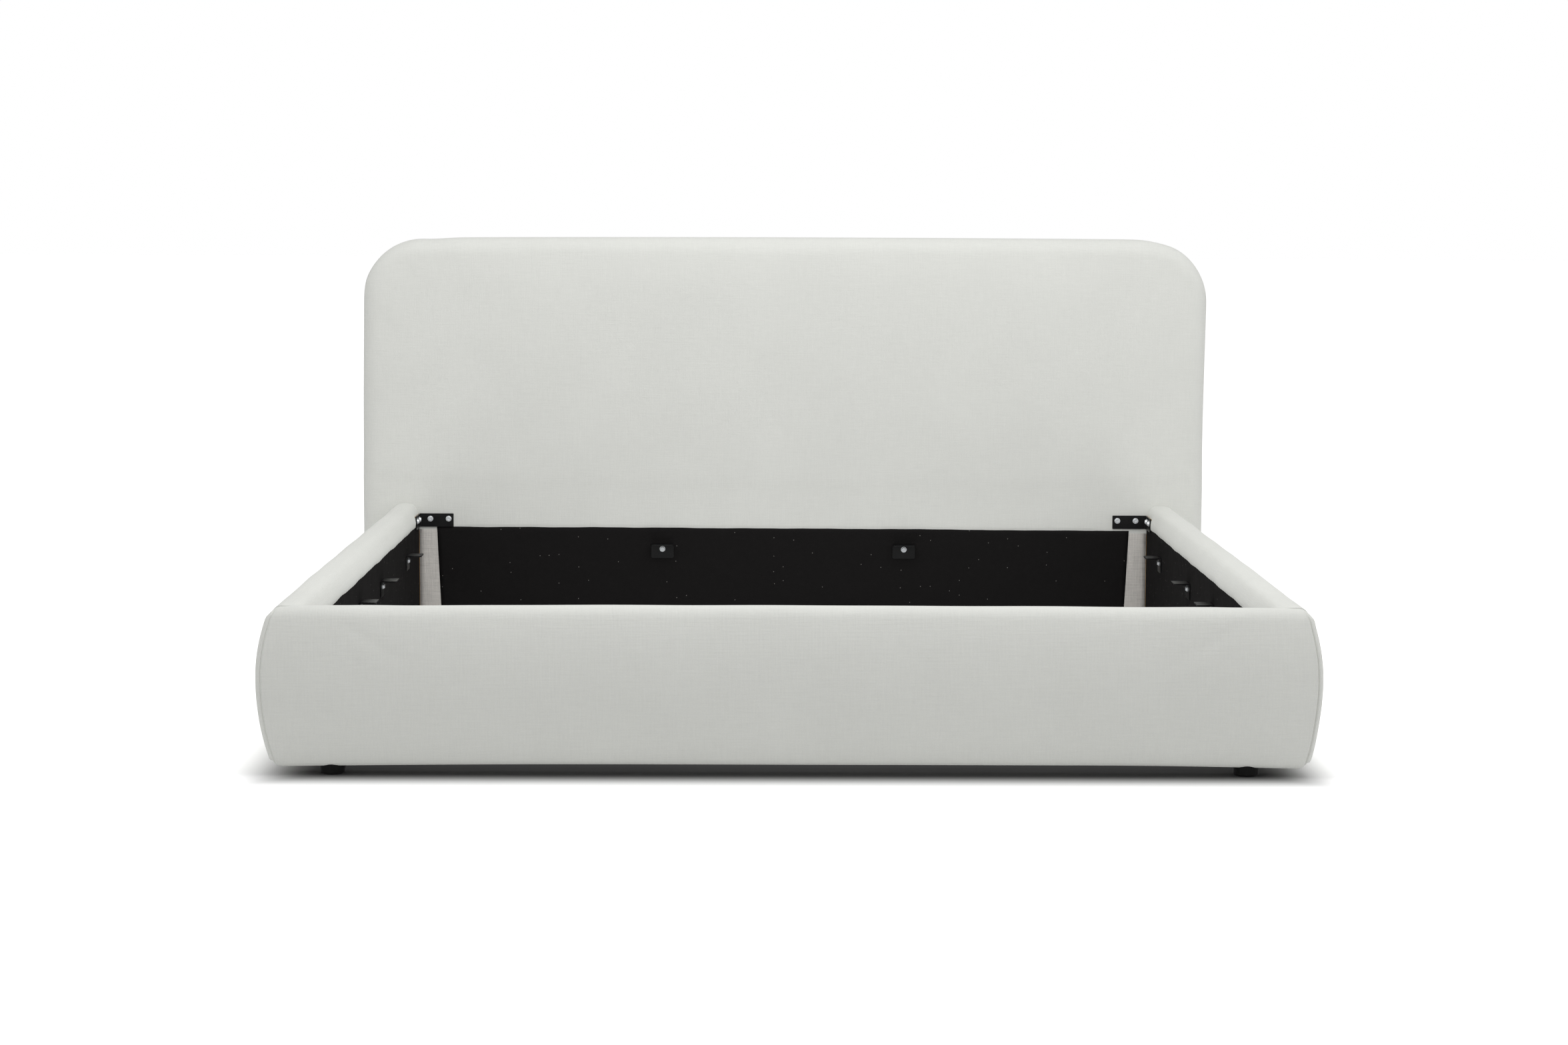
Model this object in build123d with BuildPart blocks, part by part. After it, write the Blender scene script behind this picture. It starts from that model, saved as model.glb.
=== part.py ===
"""Upholstered king-size bed frame: headboard, two side rails, footboard and their brackets.

Units are millimetres. X runs across the bed, Y from foot to head, Z up. The origin lies on
the floor, below the middle of the whole bed. Left and right are as seen from the foot.
"""

import os
from math import atan2, degrees

from build123d import *

os.makedirs("parts", exist_ok=True)

# Mattress well
well_width = 1960
well_length = 2060

# Padded section shared by the side rails and the footboard
rail_thickness = 90
crest_height = 346
floor_clearance = 26
crown_radius = 28
crest_flat = 10
shoulder_radius = 32
bulge_height = 199
toe_tuck = 46
toe_radius = 16
lining_top_height = 290

# Skins
cover_thickness = 1.5
lining_thickness = 1.0

# Timber of the rails and the footboard, from the well outwards
board_thickness = 18
batten_depth = 19
batten_height = 40
outer_skin_thickness = 5
upright_width = 60

# Footboard, as wide as the rails' outer sides stand apart
footboard_end_foam = 60
footboard_edge_radius = 14

# Headboard
headboard_overhang = 154
headboard_height = 1063
headboard_corner_radius = 170
headboard_front_foam = 15
headboard_edge_foam = 20
headboard_front_radius = 40
headboard_back_radius = 12
front_panel_thickness = 9
frame_depth = 68
frame_member_width = 60
mid_rail_height = 80
bolting_board_top = 320
bolting_board_overhang = 20
side_strip_width = 49
headboard_lining_top = 280
back_hem_width = 60

# Steel brackets
plate_thickness = 3
bend_radius = 2
plate_corner_radius = 4
corner_plate_corner_radius = 1.5
slat_bracket_length = 60
slat_bracket_leg = 40
slat_bracket_top = 240
slat_bracket_outer_place = 293
slat_bracket_inner_place = 831
centre_bracket_place = 325.5
corner_bracket_reach = 92
corner_bracket_height = 36
corner_bracket_bottom = 283
corner_bolt_first = 30
corner_bolt_spacing = 49
corner_bolt_drop = 14
slat_bolt_drop = 15

# M8 flanged bolts and their insert nuts
bolt_radius = 4
bolt_reach = 16
flange_radius = 7.6
flange_thickness = 1.6
head_radius = 6.2
head_height = 3.4
head_taper = 20
socket_radius = 2.9
socket_depth = 2.2
bolt_clearance = 0.4
insert_radius = 6
insert_length = 14
thread_clearance = 0.1

# Feet and their screws
foot_radius = 25
foot_top_radius = 27
foot_edge_radius = 5
foot_recess_radius = 10
foot_recess_depth = 12
foot_inset = 27
foot_from_end = 143.5
screw_radius = 2.5
screw_head_radius = 5
screw_head_height = 3
screw_length = 38
screw_clearance = 0.2

# Every cut runs past its faces by this much
overrun = 2

# Heights and depths that follow from the sizes above
core_bottom = floor_clearance + cover_thickness
core_top = crest_height - crown_radius
core_depth = board_thickness + batten_depth + outer_skin_thickness
batten_start = cover_thickness + board_thickness
skin_start = batten_start + batten_depth
core_end = cover_thickness + core_depth
lining_face = cover_thickness - lining_thickness
side_face_x = well_width / 2
footboard_half_width = side_face_x + rail_thickness
headboard_half_width = side_face_x + headboard_overhang
bolting_board_half_width = side_face_x + bolting_board_overhang
headboard_lining_half_width = side_face_x - side_strip_width
panel_start = cover_thickness + headboard_front_foam
frame_start = panel_start + front_panel_thickness
frame_end = frame_start + frame_depth
headboard_thickness = frame_end + cover_thickness
headboard_core_inset = cover_thickness + headboard_edge_foam
core_half_width = headboard_half_width - headboard_core_inset
core_crown = headboard_height - headboard_core_inset
core_corner_radius = headboard_corner_radius - headboard_core_inset
footboard_core_half_width = footboard_half_width - cover_thickness - footboard_end_foam
overall_length = rail_thickness + well_length + headboard_thickness
head_face_y = overall_length / 2 - headboard_thickness
foot_face_y = head_face_y - well_length
corner_bolt_height = corner_bracket_bottom + corner_bracket_height - corner_bolt_drop
slat_bolt_height = slat_bracket_top - slat_bolt_drop
corner_bolt_reaches = (corner_bolt_first, corner_bolt_first + corner_bolt_spacing)
rail_core_length = well_length - 2 * cover_thickness
plate_limit = plate_thickness + bend_radius / 2

# A member's own plane: x points out of the well, y up and z along the member
side_rail = Plane(origin=(side_face_x, head_face_y, 0), x_dir=(1, 0, 0), z_dir=(0, -1, 0))
footboard = Plane(origin=(0, foot_face_y, 0), x_dir=(0, -1, 0), z_dir=(-1, 0, 0))
headboard = Plane(origin=(0, head_face_y, 0), x_dir=(0, 1, 0), z_dir=(1, 0, 0))

# What stands on one half of the bed is mirrored to the other half
left_to_right = Plane.YZ
head_to_foot = Plane.XZ.offset(-(head_face_y + foot_face_y) / 2)

# Slat brackets stand at the same distances from both ends of a side rail
slat_bracket_places = (
    slat_bracket_outer_place,
    slat_bracket_inner_place,
    well_length - slat_bracket_inner_place,
    well_length - slat_bracket_outer_place,
)
rail_end_upright = cover_thickness + upright_width / 2
rail_upright_places = (
    rail_end_upright,
    *slat_bracket_places,
    well_length - rail_end_upright,
)
centre_bracket_places = (-centre_bracket_place, centre_bracket_place)
footboard_end_upright = footboard_core_half_width - upright_width / 2
footboard_upright_places = (-footboard_end_upright, *centre_bracket_places, footboard_end_upright)


def seat(member, out, height, along):
    """Plane on a member's inner side whose normal points into the mattress well."""
    place = member.from_local_coords(Vector(out, height, along))
    return Plane(origin=place, x_dir=member.z_dir, z_dir=-member.x_dir)


def spans(member, places, width):
    """Section planes where pieces of one width, centred on the places, begin."""
    return [member.offset(place - width / 2) for place in places]


def front_view(depth):
    """Plane parallel to the headboard, at this depth behind its front face."""
    return Plane.XZ.offset(-(head_face_y + depth))


def draw_slab(x_low, x_high, y_low, y_high, mode=Mode.ADD):
    """Rectangle in a sketch, given by its four sides."""
    with Locations(((x_low + x_high) / 2, (y_low + y_high) / 2)):
        Rectangle(x_high - x_low, y_high - y_low, mode=mode)


def flank_radius(reach, rise, corner_radius):
    """Radius of the arc that is upright at the widest point and runs into a corner's arc."""
    return (reach**2 + rise**2 - 2 * rise * corner_radius) / (2 * (reach - corner_radius))


def draw_flank(widest, reach, rise, corner_radius, inset, turn):
    """Two tangent arcs from the widest point: a long flank, then the corner it runs into."""
    long_radius = flank_radius(reach, rise, corner_radius)
    corner_rise = rise - corner_radius
    meeting = degrees(atan2(corner_rise, long_radius - reach))
    CenterArc((widest - long_radius, bulge_height), long_radius - inset, 0, turn * meeting)
    corner = (widest - reach, bulge_height + turn * corner_rise)
    return CenterArc(corner, corner_radius - inset, turn * meeting, turn * (90 - meeting))


def draw_bulge(widest, inset):
    """Bulging side of the padding from the crest down to the toe; gives its two ends."""
    crest_reach = rail_thickness - crown_radius - crest_flat
    crest_rise = crest_height - bulge_height
    toe_drop = bulge_height - floor_clearance
    crest = draw_flank(widest, crest_reach, crest_rise, shoulder_radius, inset, 1)
    toe = draw_flank(widest, toe_tuck, toe_drop, toe_radius, inset, -1)
    return crest @ 1, toe @ 1


def draw_rail_section(inset, mode=Mode.ADD):
    """Padded section: upright inner side, small crown, long bulge and tucked toe."""
    with BuildLine() as outline:
        crest, toe = draw_bulge(rail_thickness, inset)
        crown = CenterArc((crown_radius, core_top), crown_radius - inset, 90, 90)
        Line(crest, crown @ 0)
        Polyline(toe, (inset, floor_clearance + inset), crown @ 1)
    make_face(outline.edges(), mode=mode)


def draw_footboard_front(inset):
    """Footboard from the front: both ends repeat the bulge of the padded section."""
    with BuildLine() as half:
        crest, toe = draw_bulge(footboard_half_width, inset)
        Line((0, crest.Y), crest)
        Line((0, toe.Y), toe)
        mirror(half.line, about=Plane.YZ)
    make_face(half.edges())


def draw_headboard_front(inset, bottom):
    """Headboard from the front: an upright panel with two large rounded top corners."""
    side = headboard_half_width - inset
    top = headboard_height - inset
    radius = headboard_corner_radius - inset
    with BuildLine() as half:
        Polyline((0, bottom), (side, bottom), (side, top - radius))
        CenterArc((side - radius, top - radius), radius, 0, 90)
        Line((side - radius, top), (0, top))
        mirror(half.line, about=Plane.YZ)
    make_face(half.edges())


def padded_headboard(inset):
    """Solid headboard body, with its front and back edges rounded, less the inset."""
    with BuildSketch(front_view(inset)) as front:
        draw_headboard_front(inset, floor_clearance + inset)
    extrude(front.sketch, amount=-(headboard_thickness - 2 * inset))
    front_edges = faces().sort_by(Axis.Y)[0].edges().sort_by(Axis.Z)[1:]
    fillet(front_edges, headboard_front_radius - inset)
    back_edges = faces().sort_by(Axis.Y)[-1].edges().sort_by(Axis.Z)[1:]
    fillet(back_edges, headboard_back_radius - inset)


def padded_footboard(inset):
    """Solid footboard body with bulging front and ends, less the inset."""
    end = footboard_half_width + overrun
    with BuildSketch(footboard.offset(-end)) as section:
        draw_rail_section(inset)
    extrude(section.sketch, amount=2 * end)
    with BuildSketch(Plane.XZ.offset(-foot_face_y)) as front:
        draw_footboard_front(inset)
    extrude(front.sketch, amount=rail_thickness + overrun, mode=Mode.INTERSECT)
    fillet(edges().filter_by(GeomType.ELLIPSE), footboard_edge_radius - inset)


def drill(seats, radius, depth):
    """Round hole at each seat, cut both ways from the seat's face."""
    with BuildSketch(*seats) as holes:
        Circle(radius)
    extrude(holes.sketch, amount=depth, both=True, mode=Mode.SUBTRACT)


def write(piece, name):
    """Give a finished piece its name and save it."""
    piece.label = name
    export_step(piece, f"parts/{name}.step")


def write_pair(piece, start, end=""):
    """Save a piece of the right-hand side and its mirrored twin of the left-hand side."""
    write(piece, f"{start}_right{end}")
    write(mirror(piece, about=left_to_right), f"{start}_left{end}")


def make_bolts(seats):
    """Flanged button-head bolts with a hex socket, one on each seat's bracket."""
    seats = [place.offset(plate_thickness) for place in seats]
    with BuildPart() as bolts:
        with BuildSketch(*seats):
            Circle(flange_radius)
        extrude(amount=flange_thickness)
        crowns = [place.offset(flange_thickness) for place in seats]
        with BuildSketch(*crowns):
            Circle(head_radius)
        extrude(amount=head_height, taper=head_taper)
        with BuildSketch(*seats):
            Circle(bolt_radius)
        extrude(amount=-(plate_thickness + bolt_reach))
        tops = [place.offset(flange_thickness + head_height) for place in seats]
        with BuildSketch(*tops):
            RegularPolygon(socket_radius, 6)
        extrude(amount=-socket_depth, mode=Mode.SUBTRACT)
    return bolts.part


def drill_for_inserts(seats):
    """Stepped holes for the insert nuts and the bolts' ends, behind the skin."""
    drill(seats, insert_radius + thread_clearance, cover_thickness + insert_length)
    drill(seats, bolt_radius + thread_clearance, bolt_reach + overrun)


def make_inserts(seats):
    """Insert nuts sunk in the timber behind each bolt's seat."""
    with BuildPart() as inserts:
        with BuildSketch(*[place.offset(-cover_thickness) for place in seats]):
            Circle(insert_radius)
            Circle(bolt_radius + thread_clearance, mode=Mode.SUBTRACT)
        extrude(amount=-insert_length)
    return inserts.part


def make_angle_brackets(member, places):
    """Short steel angles: a leg on the member's lining and a ledge into the well."""
    face = lining_face
    with BuildPart() as brackets:
        with BuildSketch(*spans(member, places, slat_bracket_length)):
            with BuildLine():
                Polyline(
                    (face, slat_bracket_top),
                    (face - slat_bracket_leg, slat_bracket_top),
                    (face - slat_bracket_leg, slat_bracket_top - plate_thickness),
                    (face - plate_thickness, slat_bracket_top - plate_thickness),
                    (face - plate_thickness, slat_bracket_top - slat_bracket_leg),
                    (face, slat_bracket_top - slat_bracket_leg),
                    close=True,
                )
            make_face()
            outer = vertices().sort_by_distance((face, slat_bracket_top, 0))[0]
            fillet(outer, bend_radius + plate_thickness)
            inside = (face - plate_thickness, slat_bracket_top - plate_thickness, 0)
            fillet(vertices().sort_by_distance(inside)[0], bend_radius)
        extrude(amount=slat_bracket_length)
        crosswise = edges().filter_by(Axis(member.origin, member.x_dir))
        upright = edges().filter_by(Axis.Z)
        tips = [edge for edge in crosswise + upright if edge.length < plate_limit]
        fillet(tips, plate_corner_radius)
        drill(
            slat_seats(member, face, places), bolt_radius + bolt_clearance, plate_thickness + overrun
        )
    return brackets.part


def mirrored(place):
    """The same seat on the left-hand side of the bed."""
    origin, normal = place.origin, place.z_dir
    return Plane(origin=(-origin.X, origin.Y, origin.Z), z_dir=(-normal.X, normal.Y, normal.Z))


def both_sides(seats):
    """Seats of the right-hand side together with those of the left-hand side."""
    return seats + [mirrored(place) for place in seats]


def corner_seats(member):
    """Right-hand seats of a corner bracket's bolts on the headboard or the footboard."""
    way = member.z_dir.X
    places = [way * (side_face_x - reach) for reach in corner_bolt_reaches]
    return [seat(member, 0, corner_bolt_height, place) for place in places]


def slat_seats(member, out, places):
    """Bolt seats of the angle brackets that stand at these places along a member."""
    return [seat(member, out, slat_bolt_height, place) for place in places]


def foot_seats(spots):
    """Planes under the frame where the feet are screwed on, with their normals up."""
    return [Plane(origin=(x, y, floor_clearance)) for x, y in spots]


def make_feet(spots):
    """Round plastic feet with a softened rim and a recess for the screw."""
    with BuildPart() as feet:
        with Locations(*[(x, y, 0) for x, y in spots]):
            Cone(
                foot_radius,
                foot_top_radius,
                floor_clearance,
                align=(Align.CENTER, Align.CENTER, Align.MIN),
            )
        fillet(edges().filter_by(GeomType.CIRCLE).group_by(Axis.Z)[0], foot_edge_radius)
        with Locations(*[Plane(origin=(x, y, 0), z_dir=(0, 0, -1)) for x, y in spots]):
            CounterBoreHole(
                screw_radius + screw_clearance,
                foot_recess_radius,
                foot_recess_depth,
                floor_clearance,
            )
    return feet.part


def make_foot_screws(spots):
    """Pan-head wood screws that hold the feet from below."""
    with BuildPart() as screws:
        with BuildSketch(*[Plane(origin=(x, y, foot_recess_depth)) for x, y in spots]):
            Circle(screw_head_radius)
        extrude(amount=-screw_head_height)
        fillet(edges().group_by(Axis.Z)[0], screw_head_height / 2)
        with BuildSketch(*[Plane(origin=(x, y, foot_recess_depth)) for x, y in spots]):
            Circle(screw_radius)
        extrude(amount=screw_length)
    return screws.part


# Side rails: timber core, foam, cover, lining and slat brackets, alike on both sides
rail_head_seats = [seat(side_rail, 0, corner_bolt_height, reach) for reach in corner_bolt_reaches]
rail_foot_seats = [
    seat(side_rail, 0, corner_bolt_height, well_length - reach) for reach in corner_bolt_reaches
]
rail_end_seats = rail_head_seats + rail_foot_seats
rail_timber_seats = rail_end_seats + slat_seats(side_rail, 0, slat_bracket_places)
rail_bracket_seats = slat_seats(side_rail, lining_face, slat_bracket_places)

with BuildPart() as rail_space:
    with BuildSketch(side_rail.offset(cover_thickness)):
        draw_rail_section(cover_thickness)
    extrude(amount=rail_core_length)

with BuildPart() as rail_board:
    with BuildSketch(side_rail.offset(cover_thickness)):
        draw_slab(cover_thickness, batten_start, core_bottom, core_top)
    extrude(amount=rail_core_length)
    drill_for_inserts(rail_timber_seats)
write_pair(rail_board.part, "rail", "_board")

with BuildPart() as rail_battens:
    with BuildSketch(side_rail.offset(cover_thickness)):
        draw_slab(batten_start, skin_start, core_bottom, core_bottom + batten_height)
        draw_slab(batten_start, skin_start, core_top - batten_height, core_top)
    extrude(amount=rail_core_length)
write_pair(rail_battens.part, "rail", "_battens")

with BuildPart() as rail_uprights:
    with BuildSketch(*spans(side_rail, rail_upright_places, upright_width)):
        draw_slab(batten_start, skin_start, core_bottom + batten_height, core_top - batten_height)
    extrude(amount=upright_width)
write_pair(rail_uprights.part, "rail", "_uprights")

with BuildPart() as rail_outer_skin:
    with BuildSketch(side_rail.offset(cover_thickness)):
        draw_slab(skin_start, core_end, core_bottom, core_top)
    extrude(amount=rail_core_length)
write_pair(rail_outer_skin.part, "rail", "_outer_skin")

with BuildPart() as rail_foam:
    add(rail_space.part)
    with BuildSketch(side_rail.offset(cover_thickness)):
        draw_slab(cover_thickness, core_end, core_bottom, core_top)
    extrude(amount=rail_core_length, mode=Mode.SUBTRACT)
write_pair(rail_foam.part, "rail", "_foam")

with BuildPart() as rail_cover:
    with BuildSketch(side_rail):
        draw_rail_section(0)
    extrude(amount=well_length)
    add(rail_space.part, mode=Mode.SUBTRACT)
    with BuildSketch(side_rail):
        draw_slab(-overrun, cover_thickness, core_bottom, lining_top_height)
    extrude(amount=well_length, mode=Mode.SUBTRACT)
    drill(rail_end_seats, bolt_radius + bolt_clearance, cover_thickness + overrun)
write_pair(rail_cover.part, "rail", "_cover")

with BuildPart() as rail_lining:
    with BuildSketch(side_rail):
        draw_slab(lining_face, cover_thickness, core_bottom, lining_top_height)
    extrude(amount=well_length)
    drill(rail_bracket_seats, bolt_radius + bolt_clearance, cover_thickness)
write_pair(rail_lining.part, "rail", "_lining")

write_pair(make_angle_brackets(side_rail, slat_bracket_places), "rail", "_slat_brackets")
write_pair(make_bolts(rail_bracket_seats), "rail", "_slat_bolts")
write_pair(make_inserts(rail_timber_seats), "rail", "_inserts")

# Footboard: the same section as the rails, along its own length, with bulging ends
foot_corner_seats = both_sides(corner_seats(footboard))
foot_timber_seats = foot_corner_seats + slat_seats(footboard, 0, centre_bracket_places)
foot_centre_seats = slat_seats(footboard, lining_face, centre_bracket_places)
footboard_foot_x = footboard_half_width - foot_from_end
footboard_foot_y = foot_face_y - foot_inset
footboard_foot_spots = [(-footboard_foot_x, footboard_foot_y), (footboard_foot_x, footboard_foot_y)]

with BuildPart() as footboard_space:
    padded_footboard(cover_thickness)

with BuildPart() as footboard_core:
    with BuildSketch(footboard.offset(-footboard_core_half_width)):
        draw_slab(cover_thickness, core_end, core_bottom, core_top)
    extrude(amount=2 * footboard_core_half_width)

with BuildPart() as footboard_board:
    with BuildSketch(footboard.offset(-footboard_core_half_width)):
        draw_slab(cover_thickness, batten_start, core_bottom, core_top)
    extrude(amount=2 * footboard_core_half_width)
    drill_for_inserts(foot_timber_seats)
write(footboard_board.part, "footboard_board")

with BuildPart() as footboard_battens:
    with BuildSketch(footboard.offset(-footboard_core_half_width)):
        draw_slab(batten_start, skin_start, core_bottom, core_bottom + batten_height)
        draw_slab(batten_start, skin_start, core_top - batten_height, core_top)
    extrude(amount=2 * footboard_core_half_width)
    drill(foot_seats(footboard_foot_spots), screw_radius + screw_clearance, screw_length)
write(footboard_battens.part, "footboard_battens")

with BuildPart() as footboard_uprights:
    with BuildSketch(*spans(footboard, footboard_upright_places, upright_width)):
        draw_slab(batten_start, skin_start, core_bottom + batten_height, core_top - batten_height)
    extrude(amount=upright_width)
write(footboard_uprights.part, "footboard_uprights")

with BuildPart() as footboard_outer_skin:
    with BuildSketch(footboard.offset(-footboard_core_half_width)):
        draw_slab(skin_start, core_end, core_bottom, core_top)
    extrude(amount=2 * footboard_core_half_width)
write(footboard_outer_skin.part, "footboard_outer_skin")

with BuildPart() as footboard_foam:
    add(footboard_space.part)
    add(footboard_core.part, mode=Mode.SUBTRACT)
write(footboard_foam.part, "footboard_foam")

with BuildPart() as footboard_cover:
    padded_footboard(0)
    add(footboard_space.part, mode=Mode.SUBTRACT)
    with BuildSketch(footboard.offset(-side_face_x)):
        draw_slab(-overrun, cover_thickness, core_bottom, lining_top_height)
    extrude(amount=well_width, mode=Mode.SUBTRACT)
    drill(foot_corner_seats, bolt_radius + bolt_clearance, cover_thickness + overrun)
    drill(foot_seats(footboard_foot_spots), screw_radius + screw_clearance, overrun)
write(footboard_cover.part, "footboard_cover")

with BuildPart() as footboard_lining:
    with BuildSketch(footboard.offset(-side_face_x)):
        draw_slab(lining_face, cover_thickness, core_bottom, lining_top_height)
    extrude(amount=well_width)
    drill(foot_centre_seats, bolt_radius + bolt_clearance, cover_thickness)
write(footboard_lining.part, "footboard_lining")

write(make_inserts(foot_timber_seats), "footboard_inserts")
write(make_feet(footboard_foot_spots), "footboard_feet")
write(make_foot_screws(footboard_foot_spots), "footboard_foot_screws")
write(make_angle_brackets(footboard, centre_bracket_places), "footboard_centre_brackets")
write(make_bolts(foot_centre_seats), "footboard_centre_bolts")

# Headboard: pine frame, plywood front, a thin board for the bolts, foam and cover
head_corner_seats = both_sides(corner_seats(headboard))
head_timber_seats = head_corner_seats + slat_seats(headboard, 0, centre_bracket_places)
head_centre_seats = slat_seats(headboard, lining_face, centre_bracket_places)
post_inner = core_half_width - frame_member_width
corner_centre_x = core_half_width - core_corner_radius
corner_centre_z = core_crown - core_corner_radius
bottom_rail_top = core_bottom + frame_member_width
mid_rail_bottom = corner_bolt_height - mid_rail_height / 2
mid_rail_top = corner_bolt_height + mid_rail_height / 2
top_rail_bottom = core_crown - frame_member_width
headboard_foot_x = core_half_width - frame_member_width / 2
headboard_foot_y = head_face_y + frame_start + frame_depth / 2
headboard_foot_spots = [(-headboard_foot_x, headboard_foot_y), (headboard_foot_x, headboard_foot_y)]

with BuildPart() as headboard_space:
    padded_headboard(cover_thickness)

with BuildPart() as headboard_front_panel:
    with BuildSketch(front_view(panel_start)):
        draw_headboard_front(headboard_core_inset, core_bottom)
    extrude(amount=-front_panel_thickness)
write(headboard_front_panel.part, "headboard_front_panel")

with BuildPart() as headboard_posts:
    with BuildSketch(front_view(frame_start)):
        draw_slab(post_inner, core_half_width, core_bottom, corner_centre_z)
        draw_slab(-core_half_width, -post_inner, core_bottom, corner_centre_z)
    extrude(amount=-frame_depth)
    drill(foot_seats(headboard_foot_spots), screw_radius + screw_clearance, screw_length)
write(headboard_posts.part, "headboard_posts")

with BuildPart() as headboard_corner_formers:
    with BuildSketch(front_view(frame_start)):
        with Locations((-corner_centre_x, corner_centre_z), (corner_centre_x, corner_centre_z)):
            Circle(core_corner_radius)
            Circle(core_corner_radius - frame_member_width, mode=Mode.SUBTRACT)
        draw_slab(-corner_centre_x, corner_centre_x, 0, headboard_height, Mode.SUBTRACT)
        draw_slab(-core_half_width, core_half_width, 0, corner_centre_z, Mode.SUBTRACT)
    extrude(amount=-frame_depth)
write(headboard_corner_formers.part, "headboard_corner_formers")

with BuildPart() as headboard_top_rail:
    with BuildSketch(front_view(frame_start)):
        draw_slab(-corner_centre_x, corner_centre_x, top_rail_bottom, core_crown)
    extrude(amount=-frame_depth)
write(headboard_top_rail.part, "headboard_top_rail")

with BuildPart() as headboard_mid_rail:
    with BuildSketch(front_view(frame_start)):
        draw_slab(-post_inner, post_inner, mid_rail_bottom, mid_rail_top)
    extrude(amount=-frame_depth)
write(headboard_mid_rail.part, "headboard_mid_rail")

with BuildPart() as headboard_bottom_rail:
    with BuildSketch(front_view(frame_start)):
        draw_slab(-post_inner, post_inner, core_bottom, bottom_rail_top)
    extrude(amount=-frame_depth)
write(headboard_bottom_rail.part, "headboard_bottom_rail")

with BuildPart() as headboard_lower_stiles:
    with BuildSketch(*spans(headboard, centre_bracket_places, frame_member_width)):
        draw_slab(frame_start, frame_end, bottom_rail_top, mid_rail_bottom)
    extrude(amount=frame_member_width)
write(headboard_lower_stiles.part, "headboard_lower_stiles")

with BuildPart() as headboard_upper_stiles:
    with BuildSketch(*spans(headboard, centre_bracket_places, frame_member_width)):
        draw_slab(frame_start, frame_end, mid_rail_top, top_rail_bottom)
    extrude(amount=frame_member_width)
write(headboard_upper_stiles.part, "headboard_upper_stiles")

with BuildPart() as headboard_bolting_board:
    with BuildSketch(front_view(cover_thickness)):
        draw_slab(
            -bolting_board_half_width, bolting_board_half_width, core_bottom, bolting_board_top
        )
    extrude(amount=-headboard_front_foam)
    drill_for_inserts(head_timber_seats)
write(headboard_bolting_board.part, "headboard_bolting_board")

with BuildPart() as headboard_foam:
    add(headboard_space.part)
    with BuildSketch(front_view(panel_start)):
        draw_headboard_front(headboard_core_inset, core_bottom)
    extrude(amount=-(front_panel_thickness + frame_depth), mode=Mode.SUBTRACT)
    with BuildSketch(front_view(cover_thickness)):
        draw_slab(
            -bolting_board_half_width, bolting_board_half_width, core_bottom, bolting_board_top
        )
    extrude(amount=-headboard_front_foam, mode=Mode.SUBTRACT)
write(headboard_foam.part, "headboard_foam")

with BuildPart() as headboard_cover:
    padded_headboard(0)
    add(headboard_space.part, mode=Mode.SUBTRACT)
    with BuildSketch(front_view(-overrun)):
        draw_slab(-side_face_x, side_face_x, core_bottom, headboard_lining_top)
    extrude(amount=-(overrun + cover_thickness), mode=Mode.SUBTRACT)
    with BuildSketch(front_view(frame_end)):
        draw_headboard_front(back_hem_width, floor_clearance + back_hem_width)
    extrude(amount=-(overrun + cover_thickness), mode=Mode.SUBTRACT)
    drill(head_corner_seats, bolt_radius + bolt_clearance, cover_thickness + overrun)
    drill(foot_seats(headboard_foot_spots), screw_radius + screw_clearance, overrun)
write(headboard_cover.part, "headboard_cover")

with BuildPart() as headboard_back_cloth:
    with BuildSketch(front_view(frame_end)):
        draw_headboard_front(back_hem_width, floor_clearance + back_hem_width)
    extrude(amount=-lining_thickness)
write(headboard_back_cloth.part, "headboard_back_cloth")

with BuildPart() as headboard_side_strips:
    with BuildSketch(front_view(0)):
        draw_slab(headboard_lining_half_width, side_face_x, core_bottom, headboard_lining_top)
        draw_slab(-side_face_x, -headboard_lining_half_width, core_bottom, headboard_lining_top)
    extrude(amount=-cover_thickness)
write(headboard_side_strips.part, "headboard_side_strips")

with BuildPart() as headboard_lining:
    with BuildSketch(front_view(lining_face)):
        draw_slab(
            -headboard_lining_half_width,
            headboard_lining_half_width,
            core_bottom,
            headboard_lining_top,
        )
    extrude(amount=-lining_thickness)
    drill(head_centre_seats, bolt_radius + bolt_clearance, cover_thickness)
write(headboard_lining.part, "headboard_lining")

write(make_inserts(head_timber_seats), "headboard_inserts")
write(make_feet(headboard_foot_spots), "headboard_feet")
write(make_foot_screws(headboard_foot_spots), "headboard_foot_screws")
write(make_angle_brackets(headboard, centre_bracket_places), "headboard_centre_brackets")
write(make_bolts(head_centre_seats), "headboard_centre_bolts")

# Steel angle in the right-hand corner at the head, and its mirrored copies in the others
with BuildPart() as corner_bracket:
    with BuildSketch(Plane.XY.offset(corner_bracket_bottom)):
        with BuildLine():
            Polyline(
                (side_face_x, head_face_y),
                (side_face_x - corner_bracket_reach, head_face_y),
                (side_face_x - corner_bracket_reach, head_face_y - plate_thickness),
                (side_face_x - plate_thickness, head_face_y - plate_thickness),
                (side_face_x - plate_thickness, head_face_y - corner_bracket_reach),
                (side_face_x, head_face_y - corner_bracket_reach),
                close=True,
            )
        make_face()
        outer = vertices().sort_by_distance((side_face_x, head_face_y, 0))[0]
        fillet(outer, bend_radius + plate_thickness)
        inside = (side_face_x - plate_thickness, head_face_y - plate_thickness, 0)
        fillet(vertices().sort_by_distance(inside)[0], bend_radius)
    extrude(amount=corner_bracket_height)
    level = edges().filter_by(Axis.X) + edges().filter_by(Axis.Y)
    tips = [edge for edge in level if edge.length < plate_limit]
    fillet(tips, corner_plate_corner_radius)
    drill(
        corner_seats(headboard) + rail_head_seats,
        bolt_radius + bolt_clearance,
        plate_thickness + overrun,
    )
write_pair(corner_bracket.part, "head_corner_bracket")
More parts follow.
